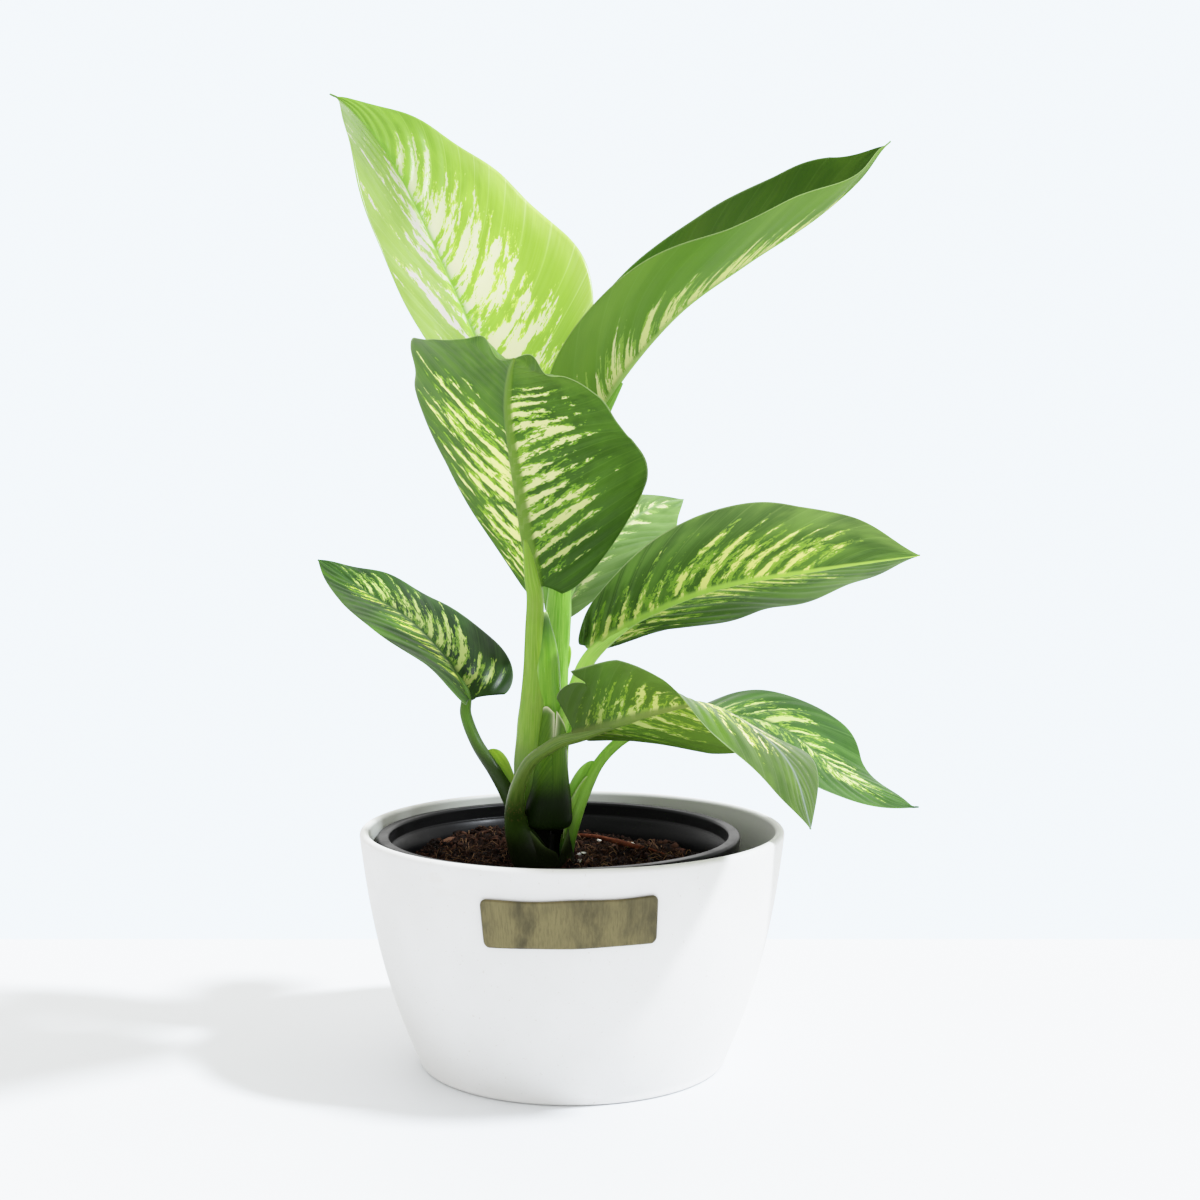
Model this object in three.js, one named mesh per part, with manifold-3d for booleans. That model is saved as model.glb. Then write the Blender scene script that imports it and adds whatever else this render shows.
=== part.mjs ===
// A potted dieffenbachia: a white planter with a bare bronze-coloured plate, a black nursery pot
// standing in it, potting mix, a short cane and eight broad leaves on sheathed petioles.
// Millimetres, +Z up, origin at the middle of the planter's base. The plate faces -Y.

import * as THREE from 'three';
import { mergeVertices } from 'three/addons/utils/BufferGeometryUtils.js';
import Module from 'manifold-3d';

const wasm = await Module();
wasm.setup();

// ---------------------------------------------------------------- driving dimensions
const gap = 0.3;                       // clearance between pieces that touch

const planterHeight = 102;
const planterRimRadius = 92.2;
const planterWall = 4;
const planterFloor = 4;
const planterFlare = 12;               // how much the radius loses in an even taper, rim to base
const planterBelly = 14.3;             // and how much more it loses towards the base only
const planterBellyPower = 2.5;
const planterSides = 52;
const planterSteps = 6;                // straight stretches that make up the curved wall
const footRound = 2;                   // height of the rounded edge at the base
const lipRound = 1.2;                  // half width of the lip's flat top before it rounds off
const lipDrop = 0.5;

const plateWidth = 70;
const plateHeight = 19.5;
const plateThickness = 1.1;
const plateCorner = 2.5;
const plateCentreHeight = 80;
const plateTilt = THREE.MathUtils.degToRad(1.5);

const nurseryCentre = new THREE.Vector2(-6, 4.5);
const nurseryTop = 97.5;
const nurseryRimRadius = 79.5;
const nurseryRimWidth = 5.5;
const nurseryRimSkirt = 9;
const nurseryBaseRadius = 55.5;
const nurseryWall = 1.6;
const nurserySides = 44;
const drainHoleRadius = 5;
const drainHoles = 5;
const drainHoleSides = 12;
const drainCircle = 0.6;               // where the holes sit, as a share of the base's radius
const nurseryRibDepth = 6;             // from the rim's top down to the small step inside
const nurseryRibWidth = 0.4;
const nurseryRimRound = 1;

const soilTop = 84.3;
const soilSides = 36;
const soilRings = [1, 0.88, 0.76, 0.64, 0.52, 0.4, 0.26, 0.12];
const moundHeight = 6.5;
const moundAt = new THREE.Vector2(-38, 44);
const moundSpread = 25;
const rollHeight = 1.2;                // slow unevenness of the mix, and its fine crumbs
const rollWaves = [0.13, 0.11];
const crumbHeight = 0.9;
const crumbWaves = [[0.61, 0.37], [-0.29, 0.53]];
const soilEdgeGap = 0.8;               // the mix has shrunk away from the pot's wall
const soilEdgeDrop = 1.5;
const debrisReach = 62;                // how far from the pot's middle grains and chips lie
const debrisClear = 0.08;              // share of the area round the middle that stays free of them
const debrisSink = 0.2;
const perliteGrains = 16;
const perliteSizes = [1.5, 2.8];
const barkChips = 14;
const barkLengths = [7, 13];
const barkWidths = [2, 4];
const barkThickness = 1.6;

const bladeThickness = 0.7;
const ridgeHeight = 2.4;               // midrib, raised on the underside at the blade's base
const ridgeShare = 0.085;              // midrib's half width as a share of the blade's
const bladeRows = 18;
const bladeColumns = [-1, -0.7, -0.38, -ridgeShare, 0, ridgeShare, 0.38, 0.7, 1];
const bladeLook = 0.01;                // half step along the midrib over which a normal is taken
const midribSteps = 400;               // fineness of the midrib's length table
const outlineRise = [2.3, 0.6];        // exponents of the outline up to its widest place
const outlineFall = [1.75, 1.2];       // and from there to the tip
const veinSweep = 0.12;                // how far a vein's end runs ahead of its foot, share of length
const sweepPower = [0.8, 1.3];         // how that grows along the midrib, and out to the edge
const threadRadius = 0.45;             // half width that the drawn-out tip keeps
const lobeFade = 0.09;                 // share of the length in which the basal lobes die out
const lobePower = 1.5;
const wavePower = 2.2;                 // edges wave, the blade's inner part hardly does
const rightPhase = 2;                  // sets the right edge's ripple off from the left one's
const flatArch = 0.1;                  // degrees, stands in for no arch at all
const petioleSides = 8;
const petioleRings = 11;
const underBase = { share: 0.03, depth: 0.5, radius: 0.85 };   // petiole below the blade's base
const underEnd = { share: 0.14, depth: 1.3, radius: 1.1 };     // and where it ends as the midrib
const caneRings = 8;
const rootRings = 8;
const wingThickness = 0.9;
const wingSteps = 6;
const wingRoot = 0.7;                  // share of the petiole's radius from where the fin stands out
const wingLean = 1.6;                  // puts the fin's highest place past its middle

// Each leaf: the midrib from blade base to tip, the way its upper side faces at the base, middle
// and tip, half width, and evenly spaced values from base to tip for each half's lift out of the
// blade's plane (degrees) and its share of the half width. petiole: x, y, z and radius, from the
// cane up to the blade. clasp: the broad foot of the sheath that wraps the other stalks, likewise.
// wing: the free edge of the sheath, as shares of the petiole's length, its height and the way it
// stands out. Edges wave by the listed millimetres, or by a ripple.
const leaves = [
  {
    name: 'leaf_lower_right_front',
    midrib: [[-3, -38, 145], [16, -50, 153], [36, -63, 161], [54, -76, 165],
      [71, -88, 157], [85, -97, 143], [92, -102, 120]],
    face: [[-0.3, 0.6, 0.8], [-0.05, 0.4, 0.9], [0.6, -0.5, 0.6]],
    halfWidth: 37, ripple: 0.8, ripples: 3, widestAt: 0.4, baseShare: 0.3, lobe: 3,
    leftLift: [14, -10, -20, -2, -2, 2], rightLift: [40, 26, -2, -12, -2, 12],
    leftShare: [0.5, 1, 1, 1, 1, 1], rightShare: [0.9, 1.02, 1, 1, 1, 1],
    petiole: [[-22, -9, 98, 5.5], [-24, -13, 107, 5], [-24, -19, 115, 3.9], [-22, -26, 125, 3.1],
      [-17, -32, 135, 2.8], [-10, -36, 141, 2.7]],
    clasp: [[-11.5, -1, 72, 12.3], [-11.5, -1, 84, 12.8], [-13.5, -1, 94, 13.6],
      [-18.5, -4, 102, 10], [-23, -11, 108, 5]],
    colour: 0x4f7d3a,
  },
  {
    name: 'leaf_lower_left',
    midrib: [[-45, 12, 156], [-55, 20, 172], [-73, 32, 189], [-95, 48, 201], [-119, 62, 215]],
    face: [[0.3, -0.5, 0.8], [0.3, -0.5, 0.8], [0.2, -0.5, 0.8]],
    halfWidth: 25, ripple: 0.6, ripples: 3, widestAt: 0.25, baseShare: 0.45, lobe: 4,
    leftLift: [30, 14, 6, 8, -2, 0], rightLift: [16, 2, 0, 8, 8, 20],
    leftShare: [0.7, 1, 1, 1], rightShare: [1.35, 1, 1, 0.9],
    petiole: [[-19, 3, 78, 4.2], [-22, 1, 100, 4], [-27, 0, 114, 3.6], [-34, 2, 126, 3.1],
      [-42, 8, 137, 2.8], [-47, 12, 149, 2.6]],
    wing: { from: 0.42, to: 0.72, height: 7, way: [0.85, -0.3, 0.45] },
    colour: 0x2f5a25,
  },
  {
    name: 'leaf_lower_right_back',
    midrib: [[51, 4, 149], [70, -2, 151], [92, -8, 145], [116, -18, 127], [140, -24, 116],
      [146, -27, 115]],
    face: [[0.1, -0.1, 1], [0.2, -0.1, 0.9], [0.2, -0.3, 0.9]],
    halfWidth: 31, ripple: 1, ripples: 2.5, widestAt: 0.4, baseShare: 0.3, lobe: 6, thread: 6,
    leftLift: [5, 16, 16, 2, -5, -10], rightLift: [-5, -8, -8, 0, -8, -10],
    leftShare: [1, 1], rightShare: [1, 1],
    petiole: [[-3.5, -3, 76, 3], [-2.5, -4, 92, 3.2], [-0.3, -5.5, 103, 3.4], [4.5, -4, 116, 3],
      [11, -2, 129, 2.5], [20, 0, 138.5, 2.3], [32, 2, 145, 2.3], [43, 3, 148, 2.3]],
    wing: { from: 0.3, to: 0.56, height: 4, way: [-0.7, -0.3, 0.6] },
    colour: 0x477536,
  },
  {
    name: 'leaf_middle_right',
    midrib: [[9, -10, 181], [30, -26, 196], [60, -45, 209], [100, -62, 217], [137, -75, 223]],
    face: [[-0.3, 0.6, 0.75], [-0.3, 0.6, 0.75], [-0.2, 0.6, 0.75]],
    halfWidth: 42, ripple: 0.8, ripples: 3.5, widestAt: 0.38, baseShare: 0.25, lobe: 3,
    leftLift: [12, 4, 8, 12, 16, 18], rightLift: [20, 6, 18, 22, 28, 16], rightArch: 10,
    leftShare: [0.7, 1, 1, 1, 1, 1], rightShare: [0.5, 0.86, 0.98, 1, 1.03, 1],
    petiole: [[-8, -4, 76, 5.5], [-8.5, -4.5, 90, 6.5], [-10, -7, 99, 9], [-10, -9, 108, 10],
      [-9.5, -10, 122, 9], [-8.5, -11, 136, 7.2], [-4, -12, 149, 5], [2, -12, 163, 3.6],
      [6, -11, 174, 3.3]],
    wing: { from: 0.54, to: 0.8, height: 5.5, way: [-0.8, -0.5, 0.3] },
    colour: 0x4c7f33,
  },
  {
    name: 'leaf_front',
    midrib: [[-15, -32, 209], [-21, -44, 250], [-24, -66, 278], [-22, -95, 292], [-19, -128, 296]],
    face: [[0.42, 0.9, 0.1], [0.35, 0.8, 0.5], [0.2, 0.1, 0.95]],
    halfWidth: 48, ripple: 0, ripples: 0, widestAt: 0.4, baseShare: 0.2, lobe: 6,
    leftLift: [30, 16, 6, 6, 6, 6], rightLift: [38, 22, 12, 5, 12, 16],
    leftShare: [1.1, 1.2, 1.06, 1, 1, 1],
    rightShare: [0.9, 0.93, 0.97, 0.98, 1, 1, 1, 0.92, 0.97, 1, 1, 1, 1, 1, 1, 1, 1],
    leftWave: [0, 0, 0, 0.5, 0, 0, 0, 0, 0.3, 0, 0.5, 0, 0, -0.5, -2.2, 3, 0],
    rightWave: [0, 0, 0, 0, 0, 0, 0.6, -0.8, 0, 0.5, -1, -2.3, -2.4, 0, 3.4, -2, 0],
    petiole: [[-15, -3, 92, 6.5], [-17, -5, 112, 7.5], [-17.5, -8, 130, 7.5], [-16.5, -12, 150, 6.6],
      [-15.5, -17, 170, 5.4], [-15.5, -24, 188, 4], [-15, -30, 203, 3.6]],
    wing: { from: 0.5, to: 0.9, height: 8, way: [0.95, 0.1, 0.1] },
    colour: 0x5b8c35,
  },
  {
    name: 'leaf_upper_right',
    midrib: [[8, 0, 273], [21, -4, 296], [45, -8, 323], [73, -10, 343], [101, -10, 361],
      [120, -10, 377], [130, -10, 390], [134, -10, 394]],
    face: [[-0.68, 0.09, 0.73], [-0.67, -0.14, 0.72], [-0.66, -0.22, 0.71]],
    halfWidth: 37, ripple: 0.8, ripples: 3, widestAt: 0.34, baseShare: 0.3, lobe: 6, thread: 5,
    leftLift: [60, 54, 44, 56, 64, 58], rightLift: [54, 49, 34, 32, 24, 36],
    leftArch: 20, rightArch: 20,
    leftShare: [1, 1, 1, 1.05, 1.2, 1.3], rightShare: [1.25, 1.05, 1, 1, 1, 1],
    petiole: [[-8.5, 3, 118, 4.5], [-8, 3, 145, 5.2], [-7, 2.5, 172, 5.6], [-6, 3, 195, 5.4],
      [-4.5, 4, 215, 4.6], [-1, 4, 238, 3.6], [5, 1, 262, 3.2]],
    colour: 0x58993a,
  },
  {
    name: 'leaf_upper_left',
    midrib: [[-26, 0, 278], [-39, 6, 307], [-53, 14, 338], [-69, 22, 372], [-85, 34, 400],
      [-103, 48, 421], [-110, 52, 426]],
    face: [[0.45, -0.85, 0.25], [0.45, -0.85, 0.25], [0.3, -0.85, 0.35]],
    halfWidth: 49, ripple: 1.1, ripples: 4, widestAt: 0.34, baseShare: 0.3, lobe: 6, thread: 8,
    leftLift: [36, 34, 36, 42, 48, 50], rightLift: [40, 28, 18, 8, 4, 20],
    leftShare: [1, 1], rightShare: [1.3, 1.22, 0.96, 0.9, 0.92, 1],
    petiole: [[-9, 8, 196, 3], [-11, 7, 214, 3.2], [-15, 5, 232, 3.2], [-20, 3, 252, 3.1],
      [-24, 1, 269, 3]],
    colour: 0xa8d451,
  },
  {
    name: 'leaf_back',
    midrib: [[-4, 26, 195], [8, 40, 215], [23, 54, 231], [38, 62, 240], [51, 68, 243]],
    face: [[0.3, -0.8, 0.5], [0.3, -0.7, 0.7], [0.3, -0.7, 0.7]],
    halfWidth: 30, ripple: 1, ripples: 2.5, widestAt: 0.4, baseShare: 0.2, lobe: 6,
    leftLift: [20, 10, -5, -20, -30, -36], rightLift: [50, 40, 34, 24, 8, 8],
    leftShare: [1, 1], rightShare: [0.75, 0.78, 0.8, 0.85, 1, 1],
    petiole: [[-13, 8, 100, 4.2], [-12, 10, 125, 4.4], [-10, 12, 148, 3.8], [-8, 16, 168, 3],
      [-6, 22, 186, 2.7]],
    colour: 0x9cc07c,
  },
];

// The cane: x, y, z and radius, from deep in the mix up to its growing point.
const cane = [[-12, 0, 45, 8.5], [-12, 0, 80, 8.5], [-12, 0, 98, 7.5], [-11.5, 0.5, 112, 5.5]];

// A root that lies on the mix: x, y, z and radius.
const surfaceRoot = [[0, 57, 85.5, 0.9], [11, 45, 87, 1.3], [24, 31, 86.5, 1.5], [40, 17, 85.5, 1]];

// ---------------------------------------------------------------- small helpers
// Makes the same pseudo-random sequence every time for one seed.
function seededRandom(seed) {
  let state = seed;
  return () => {
    state = (state * 1664525 + 1013904223) % 4294967296;
    return state / 4294967296;
  };
}

function curveThrough(points) {
  const vectors = points.map((p) => new THREE.Vector3(p[0], p[1], p[2]));
  return new THREE.CatmullRomCurve3(vectors, false, 'catmullrom', 0.5);
}

// Reads a list of evenly spaced numbers at a share from 0 to 1, on a smooth curve.
function along(list, share) {
  const curve = curveThrough(list.map((value) => [value, 0, 0]));
  return curve.getPoint(THREE.MathUtils.clamp(share, 0, 1)).x;
}

// A grid of points, rows x columns, closed round each row, and capped at both ends.
function loftGeometry(rings) {
  const columns = rings[0].length;
  const positions = rings.flat().flatMap((p) => [p.x, p.y, p.z]);
  const index = [];
  for (let r = 0; r < rings.length - 1; r += 1) {
    for (let c = 0; c < columns; c += 1) {
      const a = r * columns + c;
      const b = r * columns + ((c + 1) % columns);
      index.push(a, b, b + columns, a, b + columns, a + columns);
    }
  }
  const centres = [rings[0], rings[rings.length - 1]].map((ring) => {
    const middle = new THREE.Vector3();
    ring.forEach((p) => middle.addScaledVector(p, 1 / columns));
    positions.push(middle.x, middle.y, middle.z);
    return positions.length / 3 - 1;
  });
  const last = (rings.length - 1) * columns;
  for (let c = 0; c < columns; c += 1) {
    const next = (c + 1) % columns;
    index.push(centres[0], next, c);
    index.push(centres[1], last + c, last + next);
  }
  const geometry = new THREE.BufferGeometry();
  geometry.setAttribute('position', new THREE.Float32BufferAttribute(positions, 3));
  geometry.setIndex(index);
  return geometry;
}

// Two alike grids, an upper and a lower one, joined round their edge into a thin closed body.
function slabGeometry(upper, lower) {
  const rows = upper.length;
  const columns = upper[0].length;
  const count = rows * columns;
  const positions = [...upper.flat(), ...lower.flat()].flatMap((p) => [p.x, p.y, p.z]);
  const index = [];
  const at = (r, c) => r * columns + c;
  for (let r = 0; r < rows - 1; r += 1) {
    for (let c = 0; c < columns - 1; c += 1) {
      const [a, b, d, e] = [at(r, c), at(r, c + 1), at(r + 1, c), at(r + 1, c + 1)];
      index.push(a, b, e, a, e, d);
      index.push(count + a, count + e, count + b, count + a, count + d, count + e);
    }
  }
  const edge = [];
  for (let c = 0; c < columns - 1; c += 1) edge.push(at(0, c));
  for (let r = 0; r < rows - 1; r += 1) edge.push(at(r, columns - 1));
  for (let c = columns - 1; c > 0; c -= 1) edge.push(at(rows - 1, c));
  for (let r = rows - 1; r > 0; r -= 1) edge.push(at(r, 0));
  edge.forEach((a, i) => {
    const b = edge[(i + 1) % edge.length];
    index.push(a, count + a, count + b, a, count + b, b);
  });
  const geometry = new THREE.BufferGeometry();
  geometry.setAttribute('position', new THREE.Float32BufferAttribute(positions, 3));
  geometry.setIndex(index);
  return geometry;
}

function solidFrom(geometry) {
  const bare = geometry.clone();
  bare.deleteAttribute('normal');
  bare.deleteAttribute('uv');
  const merged = mergeVertices(bare, 1e-4);
  return new wasm.Manifold(new wasm.Mesh({
    numProp: 3,
    vertProperties: new Float32Array(merged.attributes.position.array),
    triVerts: new Uint32Array(merged.index.array),
  }));
}

// Turns a solid back into a mesh, without the loose scraps that a cut may leave.
function geometryFrom(solid) {
  const body = solid.decompose().reduce((a, b) => (b.volume() > a.volume() ? b : a));
  const mesh = body.getMesh();
  const geometry = new THREE.BufferGeometry();
  geometry.setAttribute('position', new THREE.BufferAttribute(mesh.vertProperties, 3));
  geometry.setIndex(new THREE.BufferAttribute(mesh.triVerts, 1));
  return geometry;
}

// ---------------------------------------------------------------- planter and plate
// Outer radius at a height: an even flare plus a belly that pulls in towards the base.
function planterRadius(height) {
  const down = 1 - height / planterHeight;
  return planterRimRadius - planterFlare * down - planterBelly * down ** planterBellyPower;
}

function makePlanter() {
  const points = [new THREE.Vector2(0, 0)];
  points.push(new THREE.Vector2(planterRadius(0) - footRound, 0));
  points.push(new THREE.Vector2(planterRadius(0) - 0.2 * footRound, 0.3 * footRound));
  const shoulder = planterHeight - planterWall / 2;
  for (let i = 0; i <= planterSteps; i += 1) {
    const height = THREE.MathUtils.lerp(footRound, shoulder, i / planterSteps);
    points.push(new THREE.Vector2(planterRadius(height), height));
  }
  const lip = planterRimRadius - planterWall / 2;
  points.push(new THREE.Vector2(lip + lipRound, planterHeight - lipDrop));
  points.push(new THREE.Vector2(lip, planterHeight));
  points.push(new THREE.Vector2(lip - lipRound, planterHeight - lipDrop));
  for (let i = planterSteps - 1; i >= 0; i -= 1) {
    const height = THREE.MathUtils.lerp(planterFloor, shoulder, i / (planterSteps - 1));
    points.push(new THREE.Vector2(planterRadius(height) - planterWall, height));
  }
  points.push(new THREE.Vector2(0, planterFloor));
  return new THREE.LatheGeometry(points, planterSides).rotateX(Math.PI / 2);
}

// A thin slab with round corners, laid on the planter's curved front.
function makePlate() {
  const rowShares = [-1, -0.93, -0.76, 0, 0.76, 0.93, 1];
  const columns = 14;
  const half = plateHeight / 2;
  const layer = (offset) => rowShares.map((share) => {
    const up = share * half;
    const past = Math.max(0, Math.abs(up) - (half - plateCorner));
    const reach = plateWidth / 2 - plateCorner + Math.sqrt(plateCorner ** 2 - past ** 2);
    return Array.from({ length: columns + 1 }, (_, c) => {
      const across = reach * (2 * c / columns - 1);
      const x = across * Math.cos(plateTilt) - up * Math.sin(plateTilt);
      const z = plateCentreHeight + across * Math.sin(plateTilt) + up * Math.cos(plateTilt);
      const radius = planterRadius(z) + offset;
      const angle = x / planterRadius(plateCentreHeight);
      return new THREE.Vector3(radius * Math.sin(angle), -radius * Math.cos(angle), z);
    });
  });
  return slabGeometry(layer(gap + plateThickness), layer(gap));
}

// ---------------------------------------------------------------- nursery pot
function nurseryRadius(height) {
  const inside = nurseryRimRadius - nurseryRimWidth + nurseryWall;
  const base = planterFloor + gap;
  return THREE.MathUtils.mapLinear(height, base, nurseryTop, nurseryBaseRadius, inside);
}

function makeNurseryPot() {
  const base = planterFloor + gap;
  const skirt = nurseryTop - nurseryRimSkirt;
  const inner = nurseryRimRadius - nurseryRimWidth;
  const floor = base + nurseryWall;
  const profile = [
    [0, base], [nurseryRadius(base), base], [nurseryRadius(skirt), skirt],
    [nurseryRimRadius - 1.4 * nurseryRimRound, skirt],
    [nurseryRimRadius - 0.4 * nurseryRimRound, nurseryTop - nurseryRimRound],
    [nurseryRimRadius - 1.2 * nurseryRimRound, nurseryTop], [inner + nurseryRimRound, nurseryTop],
    [inner, nurseryTop - nurseryRimRound], [inner - nurseryRibWidth, nurseryTop - nurseryRibDepth],
    [nurseryRadius(skirt) - nurseryWall - nurseryRibWidth, skirt - 1],
    [nurseryRadius(floor) - nurseryWall, floor], [0, floor],
  ].map(([r, z]) => new THREE.Vector2(r, z));
  const shell = solidFrom(new THREE.LatheGeometry(profile, nurserySides).rotateX(Math.PI / 2));
  const holes = Array.from({ length: drainHoles }, (_, i) => {
    const angle = (2 * Math.PI * i) / drainHoles;
    const reach = drainCircle * nurseryBaseRadius;
    const height = 4 * nurseryWall;
    const drill = new THREE.CylinderGeometry(drainHoleRadius, drainHoleRadius, height, drainHoleSides);
    drill.rotateX(Math.PI / 2);
    drill.translate(reach * Math.cos(angle), reach * Math.sin(angle), base);
    return solidFrom(drill);
  });
  const pot = holes.reduce((body, hole) => body.subtract(hole), shell);
  return geometryFrom(pot).translate(nurseryCentre.x, nurseryCentre.y, 0);
}

// ---------------------------------------------------------------- potting mix
// Height of the mix's surface: a mound at the back left, hollows round the cane, and crumbs.
function soilHeight(x, y) {
  const away = Math.hypot(x - moundAt.x, y - moundAt.y) / moundSpread;
  const mound = moundHeight * Math.exp(-(away ** 2));
  const roll = Math.sin(x * rollWaves[0] + 1) * Math.cos(y * rollWaves[1]);
  const [first, second] = crumbWaves.map(([a, b]) => Math.sin(x * a + y * b));
  return soilTop + mound + rollHeight * roll + crumbHeight * first * second;
}

function makePottingMix() {
  const random = seededRandom(7);
  const wallGap = gap + nurseryWall;
  const bottom = planterFloor + 2 * gap + nurseryWall;
  const edge = nurseryRadius(soilTop) - wallGap - soilEdgeGap;
  const ring = (radius, heightAt) => Array.from({ length: soilSides }, (_, i) => {
    const angle = (2 * Math.PI * i) / soilSides;
    const x = nurseryCentre.x + radius * Math.cos(angle);
    const y = nurseryCentre.y + radius * Math.sin(angle);
    return new THREE.Vector3(x, y, heightAt(x, y));
  });
  const rings = [
    ring(nurseryRadius(bottom) - wallGap, () => bottom),
    ring(edge, (x, y) => Math.min(soilHeight(x, y), soilTop) - soilEdgeDrop),
    ...soilRings.map((share) => ring(edge * share - soilEdgeGap / 2, soilHeight)),
  ];
  let mix = solidFrom(loftGeometry(rings));
  const between = (range) => THREE.MathUtils.lerp(range[0], range[1], random());
  const place = (shape) => {
    const angle = 2 * Math.PI * random();
    const reach = debrisReach * Math.sqrt(between([debrisClear, 1]));
    const x = nurseryCentre.x + reach * Math.cos(angle);
    const y = nurseryCentre.y + reach * Math.sin(angle);
    shape.rotateX(3 * random()).rotateZ(6 * random());
    shape.translate(x, y, soilHeight(x, y) - debrisSink);
    mix = mix.add(solidFrom(shape));
  };
  for (let i = 0; i < perliteGrains; i += 1) {
    place(new THREE.OctahedronGeometry(between(perliteSizes)));
  }
  for (let i = 0; i < barkChips; i += 1) {
    place(new THREE.BoxGeometry(between(barkLengths), between(barkWidths), barkThickness));
  }
  return mix;
}

// ---------------------------------------------------------------- stalks
// A round stalk through x, y, z, radius points. spare makes it fatter, to cut room for it.
function stalkSolid(points, spare = 0, rings = petioleRings) {
  const curve = curveThrough(points);
  const frames = curve.computeFrenetFrames(rings, false);
  const radii = points.map((p) => p[3]);
  const loft = Array.from({ length: rings + 1 }, (_, i) => {
    const share = i / rings;
    const centre = curve.getPointAt(share);
    const radius = along(radii, curve.getUtoTmapping(share)) + spare;
    return Array.from({ length: petioleSides }, (__, k) => {
      const angle = (2 * Math.PI * k) / petioleSides;
      return centre.clone()
        .addScaledVector(frames.normals[i], radius * Math.cos(angle))
        .addScaledVector(frames.binormals[i], radius * Math.sin(angle));
    });
  });
  return solidFrom(loftGeometry(loft));
}

// The free edge of a leaf sheath: a thin fin along the petiole that rises to a round shoulder.
function wingSolid(leaf, spare = 0) {
  const curve = curveThrough(leaf.petiole);
  const way = new THREE.Vector3(...leaf.wing.way).normalize();
  const upper = [];
  const lower = [];
  for (let i = 0; i <= wingSteps; i += 1) {
    const share = i / wingSteps;
    const t = THREE.MathUtils.lerp(leaf.wing.from, leaf.wing.to, share);
    const centre = curve.getPoint(t);
    const out = way.clone().projectOnPlane(curve.getTangent(t)).normalize();
    const side = out.clone().cross(curve.getTangent(t)).normalize();
    const radius = along(leaf.petiole.map((p) => p[3]), t);
    const rise = Math.sqrt(Math.max(0, 1 - (2 * share ** wingLean - 1) ** 2));
    const reach = radius * wingRoot + leaf.wing.height * rise + spare;
    const rows = [0, 0.5, 1].map((k) => centre.clone().addScaledVector(out, reach * k));
    upper.push(rows.map((p) => p.clone().addScaledVector(side, wingThickness / 2 + spare)));
    lower.push(rows.map((p) => p.clone().addScaledVector(side, -wingThickness / 2 - spare)));
  }
  return solidFrom(slabGeometry(upper, lower));
}

// ---------------------------------------------------------------- blades
// Half width as a share of the widest: quick rise from the base, long fall to the tip.
function outlineShare(share, leaf) {
  if (share < leaf.widestAt) {
    const left = 1 - share / leaf.widestAt;
    const rise = (1 - left ** outlineRise[0]) ** outlineRise[1];
    return THREE.MathUtils.lerp(leaf.baseShare, 1, rise);
  }
  const past = (share - leaf.widestAt) / (1 - leaf.widestAt);
  return (1 - Math.min(past, 1) ** outlineFall[0]) ** outlineFall[1];
}

// A point of the blade: share u along the midrib, v from -1, left edge, to 1, right edge. It runs
// out from the midrib along an arc whose chord is lifted out of the blade's plane.
function bladePoint(leaf, curve, u, v) {
  const length = curve.getLength();
  const bladeShare = Math.min(1, (u * length) / (length - (leaf.thread ?? 0)));
  const right = v >= 0;
  const out = Math.abs(v);
  const width = Math.max(threadRadius, leaf.halfWidth * outlineShare(bladeShare, leaf)
    * along(right ? leaf.rightShare : leaf.leftShare, u));
  const lift = THREE.MathUtils.degToRad(along(right ? leaf.rightLift : leaf.leftLift, u));
  const arch = THREE.MathUtils.degToRad((right ? leaf.rightArch : leaf.leftArch) ?? flatArch);
  const start = lift - arch / 2;
  const across = (width * (Math.sin(start + arch * out) - Math.sin(start))) / arch;
  const rise = (-width * (Math.cos(start + arch * out) - Math.cos(start))) / arch;
  const sweep = veinSweep * Math.sin(Math.PI * u) ** sweepPower[0] * out ** sweepPower[1];
  const lobe = leaf.lobe * Math.exp(-u / lobeFade) * out ** lobePower;
  const listed = along((right ? leaf.rightWave : leaf.leftWave) ?? [0, 0], u);
  const turns = 2 * Math.PI * leaf.ripples * u + (right ? rightPhase : 0);
  const rippled = leaf.ripple * Math.sin(turns) * Math.sqrt(Math.sin(Math.PI * u));
  const wave = (listed + rippled) * out ** wavePower;
  const foot = Math.min(1, u + sweep);
  const tangent = curve.getTangentAt(foot);
  const facing = curveThrough(leaf.face).getPoint(foot);
  const normal = facing.projectOnPlane(tangent).normalize();
  const side = tangent.clone().cross(normal);
  return curve.getPointAt(foot)
    .addScaledVector(tangent, -lobe)
    .addScaledVector(side, right ? across : -across)
    .addScaledVector(normal, rise + wave);
}

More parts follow.
